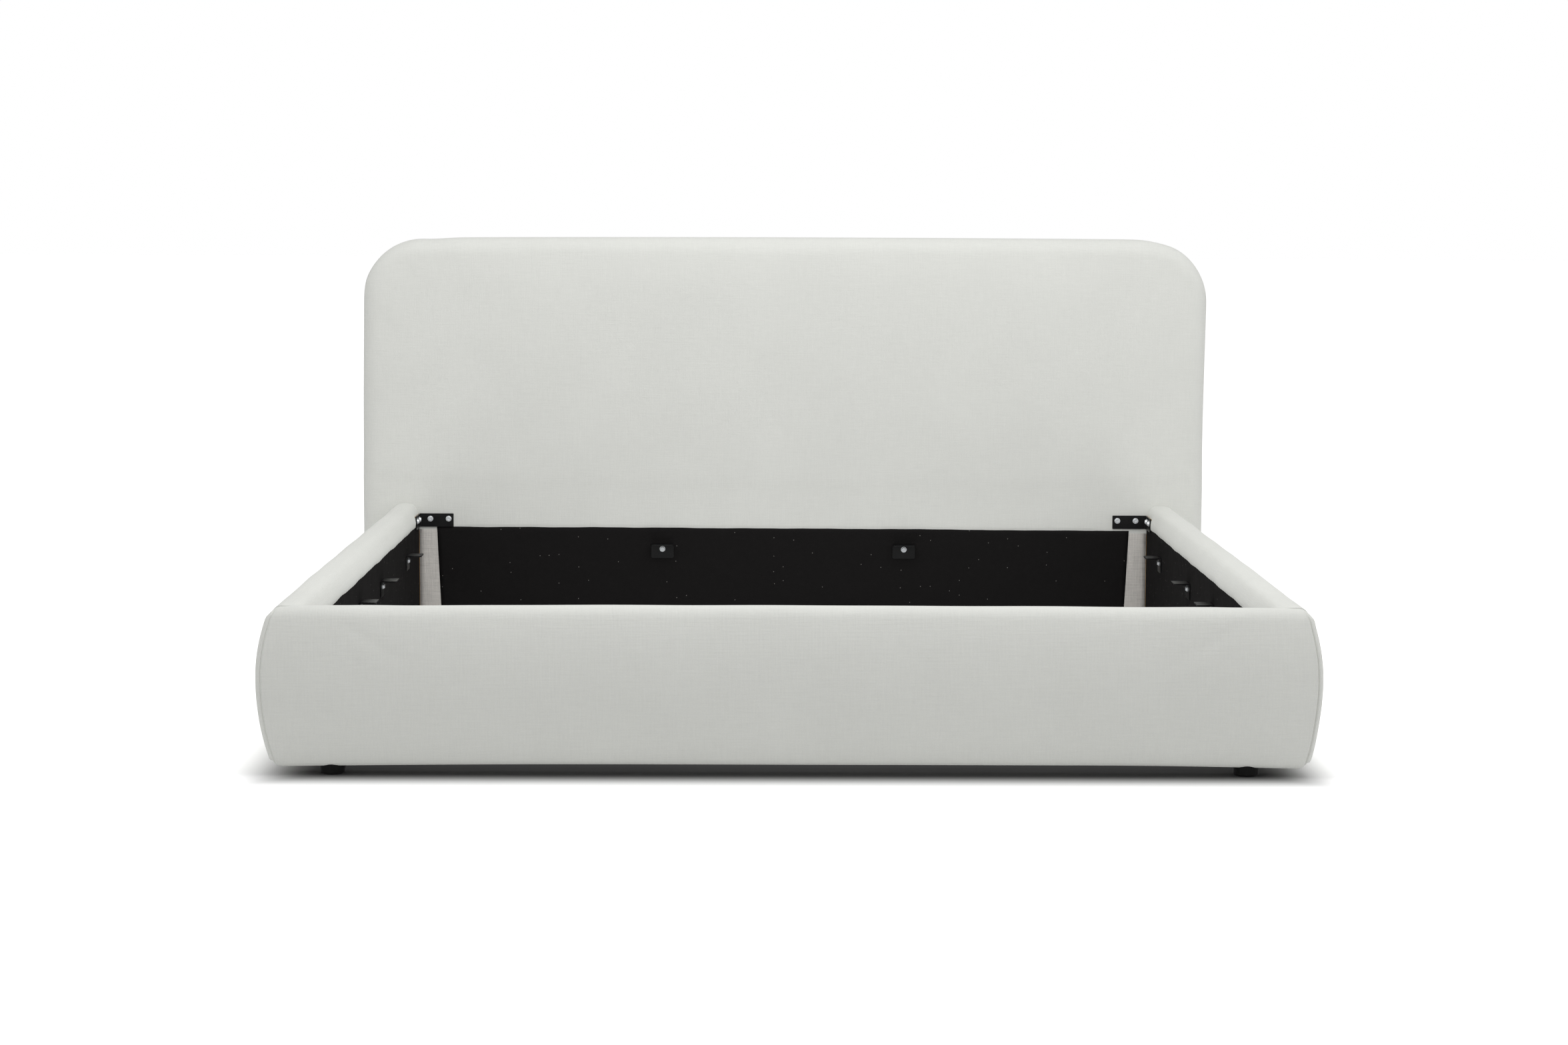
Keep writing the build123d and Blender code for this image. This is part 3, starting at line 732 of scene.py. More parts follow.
@dataclass
class PaddedBeam:
    """Long padded member with the bed's section: foam on timber under a tight cover.

    A zone is the two ends of the range over which something grows from nothing.
    """

    finishes: Finishes
    profile: PaddedProfile = PaddedProfile()
    stuffing: Stuffing = Stuffing(most_swell=0.8 * MM)
    cell: float = 10 * MM
    rows: int = 32
    layers: int = 8
    outer_edge: float = 14 * MM
    inner_edge: float = 6 * MM
    most_rounding: float = 0.45
    end_zone: float = 60 * MM
    end_drop: float = 0.35
    corner_blend: float = 4 * MM
    seam_place: float = 11 * MM
    seam_width: float = 2.2 * MM
    seam_depth: float = 0.0
    far_seam: float = 1.3
    front_fullness: float = 0.86
    shoulder_fullness: float = 0.86
    toe_fullness: float = 0.66
    crest_zone: Pair = (200 * MM, 340 * MM)
    face_zone: Pair = (30 * MM, 90 * MM)
    # The lining, and the cover behind and above its upper edge
    lining_top: float = 290 * MM
    lining_zone: Pair = (200 * MM, 280 * MM)
    lining_waves: Waves = Waves(1.6 * MM, (0.43, 0.27, 0.15), 3)
    lining_hollow: Waves = Waves(0.15 * MM, (0.31, 0.17, 0.09), 5)
    recess: float = 2 * MM
    recess_zone: Pair = (-3 * MM, 1.5 * MM)
    overhang: float = 3 * MM
    overhang_zone: Pair = (-1 * MM, 9 * MM)
    overhang_end: Pair = (18 * MM, 45 * MM)
    bracket_end: Pair = (94 * MM, 110 * MM)
    # Where staples, timber and corners hold the cover against the foam's pressure
    held_inside: Pair = (4 * MM, 22 * MM)
    held_under: Pair = (34 * MM, 70 * MM)
    held_ends: Pair = (12 * MM, 320 * MM)

    def stations(self, length: float) -> Array:
        """Distances along the member, closer together at both ends and at the seam."""
        near = np.array([0, 1.5, 4, 6.5, 8.5, 10, 11, 12, 13.5, 16, 20, 26, 34, 43, 52]) * MM
        count = round((length - 2 * self.end_zone) / self.cell)
        middle = np.linspace(self.end_zone, length - self.end_zone, count + 1)
        return np.concatenate([near, middle, length - near[::-1]])

    def lining_edge(self, along: Array) -> Array:
        """Height of the lining's upper edge, as it was tacked by hand."""
        return self.lining_top + self.lining_waves.at(along)

    def inner_rows(self) -> Array:
        """Heights of the inner side's rows, crowded where the cover tucks behind the lining."""
        crowd = self.lining_top + np.array([-14, -6, -2, 0.5, 3, 7, 13, 20, 28]) * MM
        low, high = self.profile.levels(self.rows)[[0, -1]]
        plain = np.linspace(low, crowd[0], self.rows + 1 - len(crowd), endpoint=False)
        return np.concatenate([plain, crowd[:-1], [high]])

    def shape(
        self, lattice: Lattice, stations: Array, bulging_ends: bool
    ) -> tuple[Array, Array, Array]:
        """Place every lattice point along, across and above the member.

        Args:
            lattice: The member's lattice.
            stations: Distances along the member.
            bulging_ends: Whether the ends bulge as the outer side does.

        Returns:
            Distances along the member, depths and heights.
        """
        profile = self.profile
        share = lattice.layer / lattice.cells[2]
        outer_rows = profile.levels(self.rows)[lattice.level]
        inner_rows = self.inner_rows()[lattice.level]
        along = stations[lattice.step]
        length = stations[-1]
        from_end = np.minimum(along, length - along)

        inner = profile.inner(inner_rows)
        fullness = np.where(outer_rows < profile.bulge, 1.0, self.front_fullness)
        outer = profile.thickness - profile.lack(outer_rows) * fullness
        room = self.most_rounding * (outer - inner)
        outer = outer - np.minimum(quarter_round(from_end, self.outer_edge), room)
        inner = inner + quarter_round(from_end, self.inner_edge)
        depth = inner + (outer - inner) * share
        rows = inner_rows + (outer_rows - inner_rows) * share

        is_top = lattice.level == lattice.cells[1]
        is_bottom = lattice.level == 0
        # A fuller front keeps the section's curve, drawn closer to the face
        drawn = profile.thickness - (profile.thickness - depth) / self.front_fullness
        drawn = np.maximum(drawn, np.minimum(depth, profile.crown_radius + profile.crest_flat / 2))
        height = np.where(is_top, profile.top(drawn), rows)
        height = np.where(is_bottom, profile.bottom(depth), height)

        if bulging_ends:
            low_end = along < length / 2
            # A seam joins the front's cloth to each end's, where the corner begins to turn
            seam = 1 - ease(np.abs(from_end - self.seam_place), 0, self.seam_width)
            seam = self.seam_depth * seam * np.where(low_end, 1.0, self.far_seam)
            seam = seam * ease(share, 0.3, 1.0)
            depth = depth - np.where(is_top | is_bottom, 0, seam)
            height = height - np.where(is_top, seam, 0)
            fullness = np.where(rows < profile.bulge, self.toe_fullness, self.shoulder_fullness)
            lack = profile.lack(rows) * fullness
            reach = self.end_zone + lack
            spread = (from_end - self.end_zone) / (length / 2 - self.end_zone)
            beyond = reach + (length / 2 - reach) * spread
            inward = np.where(from_end <= self.end_zone, from_end + lack, beyond)
            along = np.where(low_end, inward, length - inward)
            end_depth = profile.thickness - inward
            ridge = profile.top(np.maximum(end_depth, profile.crown_radius))
            ridge = ridge + np.maximum(profile.crown_radius - end_depth, 0)
            height = np.where(is_top, blended_low(height, ridge, self.corner_blend), height)
            toe = np.maximum(profile.bottom(np.maximum(end_depth, profile.toe_radius)), height)
            height = np.where(is_bottom, toe, height)
        else:
            drop = self.end_drop * quarter_round(length - along, self.outer_edge)
            height = height + np.where(is_top, -drop, 0) + np.where(is_bottom, drop, 0)

        # The cover is tucked behind the lining below its edge and bulges over it above
        edge = self.lining_edge(along)
        is_inner = (lattice.layer == 0) & ~is_top & ~is_bottom
        shift = (edge - self.lining_top) * ease(height, *self.lining_zone)
        height = height + np.where(is_inner, shift, 0)
        above = height - edge
        tucked = self.recess * (1 - ease(above, *self.recess_zone))
        bulged = self.overhang * ease(above, *self.overhang_zone)
        bulged = bulged * ease(from_end, *self.bracket_end) * (1 - ease(above, *self.overhang_end))
        return along, depth + np.where(is_inner, tucked - bulged, 0), height

    def spread_cloth(
        self, lattice: Lattice, along: Array, depth: Array, height: Array
    ) -> dict[Wall, Array]:
        """Cloth coordinates of every wall: along the member and round its middle section.

        Args:
            lattice: The member's lattice.
            along: Distance of each lattice point along the member.
            depth: Its depth.
            height: Its height.

        Returns:
            Two coordinates for every lattice point, for each wall.
        """
        steps, rows, layers = lattice.cells
        middle = lattice.number[steps // 2]
        ring = {
            Wall.OUTER: middle[:, layers],
            Wall.TOP: middle[rows, ::-1],
            Wall.INNER: middle[::-1, 0],
            Wall.BOTTOM: middle[0, :],
        }
        run, start = {}, 0.0
        for wall, line in ring.items():
            gaps = np.hypot(np.diff(depth[line]), np.diff(height[line]))
            reached = start + np.concatenate([[0], np.cumsum(gaps)])
            start = reached[-1]
            if wall in (Wall.TOP, Wall.INNER):
                reached = reached[::-1]
            places = lattice.layer if wall in (Wall.TOP, Wall.BOTTOM) else lattice.level
            run[wall] = reached[places]
        cloth = {wall: np.stack([along, run[wall]], axis=-1) for wall in run}
        back = self.profile.thickness - depth
        cloth[Wall.START] = np.stack([along - back, run[Wall.OUTER]], axis=-1)
        cloth[Wall.END] = np.stack([along + back, run[Wall.OUTER]], axis=-1)
        return cloth

    def hold(self, along: Array, depth: Array, height: Array) -> Array:
        """How firmly the cover is held: at the inner side, underneath and at the ends.

        Args:
            along: Distance of each point along the member.
            depth: Its depth.
            height: Its height.

        Returns:
            Firmness from 0 to 1.
        """
        from_end = np.minimum(along, along.max() - along)
        free = [ease(depth, *self.held_inside), ease(height, *self.held_under)]
        free.append(ease(from_end, *self.held_ends))
        return 1 - np.minimum.reduce(free)

    def build_lining(
        self, node: str, start: float, place: Callable[[Array, Array], tuple]
    ) -> Object:
        """Build the lining as a thin sheet whose upper edge follows the cover.

        Args:
            node: The lining's CAD node.
            start: Distance from the cover's end to the lining's.
            place: Turns distances along the lining and behind its face into X and Y.

        Returns:
            The new piece.
        """
        low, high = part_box(node)
        length, drop = max(high.x - low.x, high.y - low.y), high.z - low.z
        lattice = Lattice(round(length / SHEET_CELL), 16, 1)
        along = lattice.step / lattice.cells[0] * length
        top = self.lining_edge(along + start) + 1.0 * MM
        z = low.z + (top - low.z) * (lattice.level / lattice.cells[1])
        hollow = self.lining_hollow.size + self.lining_hollow.at(along + 0.4 * z)
        behind = 0.05 * MM + lattice.layer * CLOTH_THICKNESS + hollow * (1 - lattice.layer)
        points = np.stack([*place(along, behind), z], axis=-1)
        flat = np.stack([along, z], axis=-1)
        name = node.replace("lining", "soft_lining")
        return make_sheet(
            name, node, lattice, points, flat, self.finishes.lining
        )


@dataclass
class SideRail(PaddedBeam):
    """Side rail: cover over foam, and the lining on its inner side."""

    side: Side = Side.RIGHT
    outer_edge: float = 6 * MM
    inner_edge: float = 0.8 * MM
    crown_overlap: float = 2.5 * MM
    coped_zone: Pair = (300 * MM, 335 * MM)
    foot_sink: float = 3.7 * MM
    sink_length: float = 0.5
    wider: float = 0.0
    wider_zone: Pair = (200 * MM, 300 * MM)
    crest_waves: Waves = Waves(1.0 * MM, (0.9, 0.5, 0.31), 11)
    face_waves: Waves = Waves(1.2 * MM, (0.8, 0.41, 0.23), 21)

    def build(self) -> list[Object]:
        """Build the rail's cover and lining.

        Returns:
            The new pieces.
        """
        sign, node = self.side.value, f"rail_{self.side.name.lower()}"
        low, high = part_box(f"{node}_cover")
        stations = self.stations(high.y - low.y)
        lattice = Lattice(len(stations) - 1, self.rows, self.layers)
        along, depth, height = self.shape(lattice, stations, False)

        # At the foot the rail's top runs on over the footboard's inner crown
        near_foot = 1 - ease(along, 0, self.end_zone)
        coped = along - self.profile.inner(np.minimum(height, self.profile.crest)) * near_foot
        coped -= self.crown_overlap * near_foot * ease(height, *self.coped_zone)
        crest = self.crest_waves.at(along, sign)
        crest -= (self.foot_sink - 0.5 * MM * sign) * (1 - ease(along, 0, self.sink_length))
        height = height + crest * ease(height, *self.crest_zone)
        flank = self.face_waves.at(along, sign)
        flank += self.wider * ease(height, *self.wider_zone)
        depth = depth + flank * ease(depth, *self.face_zone)

        def inner_face(low: Vector, high: Vector) -> float:
            """X of the side that faces the well."""
            return low.x if self.side is Side.RIGHT else high.x

        x = inner_face(low, high) + sign * depth
        points = np.stack([x, low.y + coped, height], axis=-1)
        cloth = self.spread_cloth(lattice, along, depth, height)
        held = self.hold(along, depth, height)
        cover = make_cover(
            node, lattice, points, cloth, self.finishes.cover, self.stuffing, held
        )
        low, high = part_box(f"{node}_lining")
        face = inner_face(low, high)
        lining = self.build_lining(
            f"{node}_lining", 0.0, lambda run, behind: (face + sign * behind, low.y + run)
        )
        return [cover, lining]


@dataclass
class Footboard(PaddedBeam):
    """Footboard: cover over foam, bulging at both ends too, and the lining on its inner side."""

    outer_edge: float = 13 * MM
    front_fullness: float = 0.72
    cell: float = 10.5 * MM
    seam_depth: float = 3.5 * MM
    # The crest: how much higher in the middle, how much lower in all, how far it leans
    crest_bow: float = 4.2 * MM
    crest_sink: float = 3.9 * MM
    crest_lean: float = 0.5 * MM
    crest_waves: Waves = Waves(0.6 * MM, (1.1, 0.47, 0.29), 7)
    face_waves: Waves = Waves(1.2 * MM, (0.9, 0.52, 0.3), 8)
    lining_hollow: Waves = Waves(0.15 * MM, (0.31, 0.17, 0.09), 6)
    # The hem: how much lower in all, at both ends, and at humps with a size, place and width
    hem_sink: float = 2.4 * MM
    hem_drop: float = 8 * MM
    hem_humps: tuple[Triple, ...] = ((1.8 * MM, 0.0, 0.4), (-1.7 * MM, 0.7, 0.2))
    hem_zone: Pair = (40 * MM, 150 * MM)
    # How far each end stands out: all over, more at its toe, more at its shoulder
    left_out: Triple = (3.5 * MM, -2.5 * MM, 1 * MM)
    right_out: Triple = (2 * MM, 2 * MM, 4 * MM)
    toe_zone: Pair = (30 * MM, 120 * MM)
    shoulder_zone: Pair = (302 * MM, 342 * MM)
    end_power: int = 9

    def build(self) -> list[Object]:
        """Build the footboard's cover and lining.

        Returns:
            The new pieces.
        """
        low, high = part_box("footboard_cover")
        length = high.x - low.x
        stations = self.stations(length)
        lattice = Lattice(len(stations) - 1, self.rows, self.layers)
        along, depth, height = self.shape(lattice, stations, True)

        # The crest stands a little higher and the hem a little shorter in the middle
        share = 2 * along / length - 1
        crest = self.crest_bow * (1 - share**2) - self.crest_sink + self.crest_lean * share
        crest += self.crest_waves.at(along)
        height = height + crest * ease(height, *self.crest_zone)
        hem = self.hem_drop * share**2 + self.hem_sink
        for size, place, width in self.hem_humps:
            hem = hem + size * hump(share, place, width)
        height = height - hem * (1 - ease(height, *self.hem_zone))
        depth = depth + self.face_waves.at(along) * ease(depth, *self.face_zone)

        at_toe = 1 - ease(height, *self.toe_zone)
        at_shoulder = ease(height, *self.shoulder_zone)
        left, right = (
            plain + toe * at_toe + shoulder * at_shoulder
            for plain, toe, shoulder in (self.left_out, self.right_out)
        )
        out = np.where(share < 0, left, right) * share * np.abs(share) ** self.end_power
        points = np.stack([low.x + along + out, high.y - depth, height], axis=-1)
        cloth = self.spread_cloth(lattice, along, depth, height)
        held = self.hold(along, depth, height)
        cover = make_cover(
            "footboard", lattice, points, cloth, self.finishes.cover, self.stuffing, held
        )
        inner_low, inner_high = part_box("footboard_lining")
        lining = self.build_lining(
            "footboard_lining",
            inner_low.x - low.x,
            lambda run, behind: (inner_low.x + run, inner_high.y - behind),
        )
        return [cover, lining]


@dataclass
class Headboard:
    """Headboard: cover over foam, lining and side strips in front, black cloth behind."""

    finishes: Finishes
    stuffing: Stuffing = Stuffing(most_swell=1.5 * MM)
    corner_radius: float = 170 * MM
    corner_rows: int = 8
    front_edge: float = 40 * MM
    back_edge: float = 12 * MM
    columns: int = 136
    lining_top: float = 280 * MM
    lining_lift: float = 1.0 * MM
    lining_slope: Pair = (-3.2 * MM, -1.5 * MM)
    lining_waves: Waves = Waves(0.8 * MM, (0.8, 0.37, 0.21), 9)
    lining_lean: float = 12 * MM
    lean_zone: Pair = (0.7, 0.93)
    upright_share: float = 0.85
    sheet_hollow: Waves = Waves(0.12 * MM, (0.33, 0.19, 0.08), 14)
    sheet_thickness: float = 0.7 * MM
    strip_overlap: float = 16 * MM
    recess: float = 2 * MM
    recess_zone: Pair = (-2.5 * MM, 1.5 * MM)
    recess_end: Pair = (990 * MM, 1006 * MM)
    overhang: float = 1.2 * MM
    overhang_zone: Pair = (-0.5 * MM, 7 * MM)
    overhang_end: Pair = (290 * MM, 340 * MM)
    bracket_end: Pair = (840 * MM, 870 * MM)
    # Made by hand: the top's level, lean and bow, dips near its corners with a place and
    # width, and both sides out of plumb
    rise_zone: Pair = (0.5, 1.06)
    crown: Triple = (-0.3 * MM, 1.0 * MM, -3.2 * MM)
    dip_depth: float = 4.0 * MM
    dips: tuple[Pair, ...] = ((-0.95, 0.05), (1.0, 0.04))
    left_in: float = 5.5 * MM
    left_zone: Pair = (-1.13, -0.6)
    left_end: Pair = (0.89, 0.96)
    right_out: float = 5.4 * MM
    right_zone: Pair = (0.6, 1.13)
    # The top leans back from a height on, less so near the corners
    top_pillow: float = 10 * MM
    pillow_start: float = 0.925
    pillow_rise: float = 0.135
    pillow_zone: Pair = (0.68, 0.88)
    pillow_loss: float = 0.8
    front_sag: Waves = Waves(1.2 * MM, (1.3, 0.7, 0.43), 12)
    sag_zone: Pair = (0.36, 0.5)
    # Where the cover is held: up to a height, and from a distance off the back
    held_low: Pair = (0.36, 0.46)
    held_back: Pair = (30 * MM, 12 * MM)
    back_hem: float = 60 * MM
    back_sag: Waves = Waves(0.5 * MM, (0.5, 0.27, 0.16), 15)
    cloth_proud: float = 0.5 * MM

    def rows(self, low: float, top: float) -> Array:
        """Heights of the sides' rows up to the arcs, crowded at the lining's upper edge."""
        crowd = self.lining_top + np.array([-9, -3, -0.5, 2, 6, 14]) * MM
        below = np.linspace(low, crowd[0], 15, endpoint=False)
        above = np.linspace(crowd[-1] + 15 * MM, top, 36)
        return np.concatenate([below, crowd, above])

    def outline(self, inset: float) -> tuple[list[Array], list[Array]]:
        """Four sides of the outline, less an inset, as the lattice's edges.

        Args:
            inset: How far the outline lies inside the headboard's own.

        Returns:
            Points of the bottom, the top, the left and the right side, and their normals.
        """
        low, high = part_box("headboard_cover")
        half = (high.x - low.x) / 2
        radius = self.corner_radius
        start = high.z - radius
        flat = half - radius
        side_rows = self.rows(low.z, start)
        turn = np.linspace(0, math.pi / 4, self.corner_rows + 1)[1:]
        turn = np.concatenate([np.zeros(len(side_rows)), turn])
        right_normal = np.stack([np.cos(turn), np.sin(turn)], axis=-1)
        right = right_normal * radius + [flat, start]
        right[: len(side_rows), 1] = side_rows
        mirror = np.array([-1, 1])

        arc = radius * math.pi / 4
        run = np.linspace(-flat - arc, flat + arc, self.columns + 1)
        over = np.clip(np.abs(run) - flat, 0, None) / radius
        top_normal = np.stack([np.sign(run) * np.sin(over), np.cos(over)], axis=-1)
        top_x = np.sign(run) * (np.minimum(np.abs(run), flat) + radius * np.sin(over))
        top = np.stack([top_x, start + radius * np.cos(over)], axis=-1)
        bottom_x = np.linspace(-half, half, self.columns + 1)
        bottom = np.stack([bottom_x, np.full_like(bottom_x, low.z)], axis=-1)
        bottom_normal = np.tile([0.0, -1.0], (self.columns + 1, 1))

        lines = [bottom, top, right * mirror, right]
        normals = [bottom_normal, top_normal, right_normal * mirror, right_normal]
        sides = [line - normal * inset for line, normal in zip(lines, normals)]
        sides[0][:, 0] *= (half - inset) / half
        knee = self.lining_top - 20 * MM
        for side in sides[2:]:
            side[:, 1] += np.maximum(inset * (knee - side[:, 1]) / (knee - low.z), 0)
        return sides, normals

    def fill(self, sides: list[Array]) -> Array:
        """Spread a grid of points between four sides.

        Args:
            sides: Points of the bottom, the top, the left and the right side.

        Returns:
            Points for each column and row.
        """
        bottom, top, left, right = sides
        across = np.linspace(0, 1, len(bottom))[:, None, None]
        up = (left[:, 1] - left[0, 1]) / (left[-1, 1] - left[0, 1])
        up = up[None, :, None]
        between = (1 - up) * bottom[:, None] + up * top[:, None]
        over = (1 - across) * left[None] + across * right[None]
        low_corners = (1 - across) * bottom[0] + across * bottom[-1]
        high_corners = (1 - across) * top[0] + across * top[-1]
        return between + over - (1 - up) * low_corners - up * high_corners

    def depths(self, thickness: float) -> Array:
        """Depth, inset and run of the cloth for each layer, from the front to the back."""
        edge, stop = self.front_edge, thickness - self.back_edge
        turn = np.linspace(0, math.pi / 2, 7)
        front = [edge * (1 - np.cos(turn)), edge * (1 - np.sin(turn)), edge * turn]
        place = np.linspace(edge, stop, 5)[1:]
        side = [place, 0 * place, front[2][-1] + place - edge]
        turn = np.linspace(0, math.pi / 2, 4)[1:]
        back = [
            stop + self.back_edge * np.sin(turn),
            self.back_edge * (1 - np.cos(turn)),
            side[2][-1] + self.back_edge * turn,
        ]
        return np.hstack([front, side, back]).T

    def lining_edge(self, x: Array) -> Array:
        """Height of the lining's upper edge, as it was tacked by hand."""
        slope = self.lining_slope[0] * x + self.lining_slope[1] * x**2
        return self.lining_top + self.lining_lift + slope + self.lining_waves.at(x)

    def build(self) -> list[Object]:
        """Build the headboard's cover, lining, side strips, back cloth and staples.

        Returns:
            The new pieces.
        """
        low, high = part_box("headboard_cover")
        thickness = high.y - low.y
        layers = self.depths(thickness)
        rows = len(self.rows(low.z, high.z - self.corner_radius)) + self.corner_rows - 1
        lattice = Lattice(self.columns, rows, len(layers) - 1)
        grids = [self.fill(self.outline(inset)[0]) for inset in layers[:, 1]]
        flat = np.stack(grids, axis=2)[lattice.step, lattice.level, lattice.layer]
        drop = layers[lattice.layer, 0]
        x, z = flat.T

        front = lattice.layer == 0
        edge = self.lining_edge(x)
        near_edge = 1 - ease(np.abs(z - edge), 20 * MM, 60 * MM)
        z = z + (edge - self.lining_top) * front * near_edge
        tucked = self.recess * (1 - ease(z - edge, *self.recess_zone))
        tucked = tucked * (1 - ease(np.abs(x), *self.recess_end))
        proud = self.overhang * ease(z - edge, *self.overhang_zone)
        proud = proud * (1 - ease(z, *self.overhang_end)) * (1 - ease(np.abs(x), *self.bracket_end))
        drop = drop + (tucked - proud) * front

        rise = ease(z, *self.rise_zone)
        level, lean, bow = self.crown
        z = z + rise * (level + lean * x + bow * x**2)
        for place, width in self.dips:
            z = z - rise * self.dip_depth * hump(x, place, width)
        left = self.left_in * (1 - ease(x, *self.left_zone)) * (1 - ease(z, *self.left_end))
        x = x + rise * (self.right_out * ease(x, *self.right_zone) + left)
        sag = self.front_sag.at(x + 0.6 * z) * ease(z, *self.sag_zone)
        pillow = np.clip((z - self.pillow_start) / self.pillow_rise, 0, 1) ** 2
        pillow *= self.top_pillow * (1 - self.pillow_loss * ease(np.abs(x), *self.pillow_zone))
        drop = drop + sag * front + pillow * np.clip(1 - drop / self.front_edge, 0, 1)

        points = np.stack([x, low.y + drop, z], axis=-1)
        cloth = self.spread_cloth(lattice, layers, flat)
        behind = ease(drop, *(thickness - part for part in self.held_back))
        held = np.maximum(behind, 1 - ease(z, *self.held_low))
        cover = make_cover(
            "headboard", lattice, points, cloth, self.finishes.cover, self.stuffing, held
        )
        pieces = [cover, self.build_lining()]
        pieces += [self.build_strip(side) for side in Side]
        return [*pieces, self.build_back_cloth(), self.build_staples()]

    def spread_cloth(self, lattice: Lattice, layers: Array, flat: Array) -> dict[Wall, Array]:
        """Cloth coordinates: flat on the front, and on over the edges to the back.

        Args:
            lattice: The headboard's lattice.
            layers: Depth, inset and run of each layer.
            flat: Place of each lattice point seen from the front.

        Returns:
            Two coordinates for every lattice point, for each wall.
        """
        cloth = {Wall.INNER: flat, Wall.OUTER: flat}
        run = layers[lattice.layer, 2][:, None]
        walls = (Wall.BOTTOM, Wall.TOP, Wall.START, Wall.END)
        for wall, side, normal in zip(walls, *self.outline(self.front_edge)):
            place = lattice.step if wall in (Wall.BOTTOM, Wall.TOP) else lattice.level
            cloth[wall] = side[place] + normal[place] * run
        return cloth

    def build_sheet(
        self,
        name: str,
        node: str,
        spans: Pair,
        offset: float,
        finish: Material,
        lean: float = 0.0,
    ) -> Object:
        """Build a thin upright sheet in the headboard's recess.

        Args:
            name: Name of the new piece.
            node: Its CAD node.
            spans: Lowest and highest X.
            offset: How far its face lies behind the headboard's front.
            finish: Its material.
            lean: How far its side edges draw in from the top down.

        Returns:
            The new piece.
        """
        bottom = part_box(node)[0].z
        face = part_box("headboard_cover")[0].y + offset
        width = spans[1] - spans[0]
        lattice = Lattice(max(round(width / SHEET_CELL), 4), 20, 1)
        share = lattice.level / lattice.cells[1]
        x = spans[0] + width * (lattice.step / lattice.cells[0])
        z = bottom + (self.lining_edge(x) + self.lining_lift - bottom) * share
        hollow = self.sheet_hollow.size + self.sheet_hollow.at(x + 0.7 * z)
        y = face + lattice.layer * self.sheet_thickness + hollow * (1 - lattice.layer)
        leaning = ease(np.abs(x), *self.lean_zone) * np.sign(x)
        x = x + lean * (share - self.upright_share) * leaning
        points = np.stack([x, y, z], axis=-1)
        return make_sheet(name, node, lattice, points, points[:, [0, 2]], finish)

    def build_lining(self) -> Object:
        """Build the black lining between the two side strips."""
        low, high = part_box("headboard_lining")
        return self.build_sheet(
            "headboard_soft_lining", "headboard_lining", (low.x, high.x), 0.25 * MM,
            self.finishes.lining, self.lining_lean,
        )

    def build_strip(self, side: Side) -> Object:
        """Build one side strip, whose inner edge runs on under the lining."""
        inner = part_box("headboard_lining")[1].x - self.strip_overlap
        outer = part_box("headboard_side_strips")[1].x
        spans = sorted((side.value * inner, side.value * outer))
        return self.build_sheet(
            f"headboard_strip_{side.name.lower()}", "headboard_side_strips", tuple(spans),
            1.1 * MM, self.finishes.strip,
        )

    def back_outline(self, inset: float, spacing: float) -> Array:
        """Closed line parallel to the headboard's outline.

        Args:
            inset: How far it lies inside the outline.
            spacing: Distance between its points.

        Returns:
            Points, X and height.
        """
        low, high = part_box("headboard_cover")
        half = (high.x - low.x) / 2 - inset
        bottom, top = low.z + inset, high.z - inset
        radius = self.corner_radius - inset
        turn = np.linspace(0, math.pi / 2, 24)
        corner = np.stack([np.cos(turn), np.sin(turn)], axis=-1) * radius
        right = corner + [half - radius, top - radius]
        left = corner[::-1] * [-1, 1] + [radius - half, top - radius]
        line = np.concatenate([[[half, bottom]], right, left, [[-half, bottom], [half, bottom]]])
        run = np.concatenate([[0], np.cumsum(np.linalg.norm(np.diff(line, axis=0), axis=1))])
        places = np.linspace(0, run[-1], round(run[-1] / spacing), endpoint=False)
        return np.stack([np.interp(places, run, line[:, axis]) for axis in (0, 1)], axis=-1)

    def build_back_cloth(self) -> Object:
        """Build the black cloth over the open back, stapled along its folded edge.

        Returns:
            The new piece.
        """
        low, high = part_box("headboard_cover")
        inset = self.back_hem - 8 * MM
        lattice = Lattice(96, 44, 1)
        half = (high.x - low.x) / 2 - inset
        bottom, top = low.z + inset, high.z - inset
        radius = self.corner_radius - inset
        z = bottom + (top - bottom) * (lattice.level / lattice.cells[1])
        reach = half - radius + arc_height(radius, np.maximum(z - top + radius, 0))
        x = (lattice.step / lattice.cells[0] * 2 - 1) * reach
        edge = np.minimum.reduce([reach - np.abs(x), z - bottom, top - z])
        sag = self.back_sag.at(x + z) * ease(edge, 0, 80 * MM)
        # The staples pull the hem in about every 45 mm
        pulled = np.sin(2 * math.pi * (x + z) / (45 * MM)) * (1 - ease(edge, 0, 30 * MM))
        y = high.y + self.cloth_proud + sag + 0.25 * MM * pulled
        y = y + lattice.layer * CLOTH_THICKNESS
        points = np.stack([x, y, z], axis=-1)
        return make_sheet(
            "headboard_soft_back_cloth", "headboard_back_cloth", lattice, points,
            points[:, [0, 2]], self.finishes.lining,
        )

    def build_staples(self) -> Object:
        """Set staples round the edge of the back cloth.

        Returns:
            The new piece.
        """
        _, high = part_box("headboard_cover")
        line = self.back_outline(self.back_hem + 1 * MM, 5 * MM)
        points = np.insert(line, 1, high.y + self.cloth_proud + 1 * MM, axis=1)
        edges = [(place, (place + 1) % len(line)) for place in range(len(line))]
        mesh = bpy.data.meshes.new("headboard_staples")
        mesh.from_pydata(points.tolist(), edges, [])
        piece = add_object("headboard_staples", mesh)
        Staples().set_along(piece, self.finishes.zinc)
        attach(piece, BODY)
        return piece


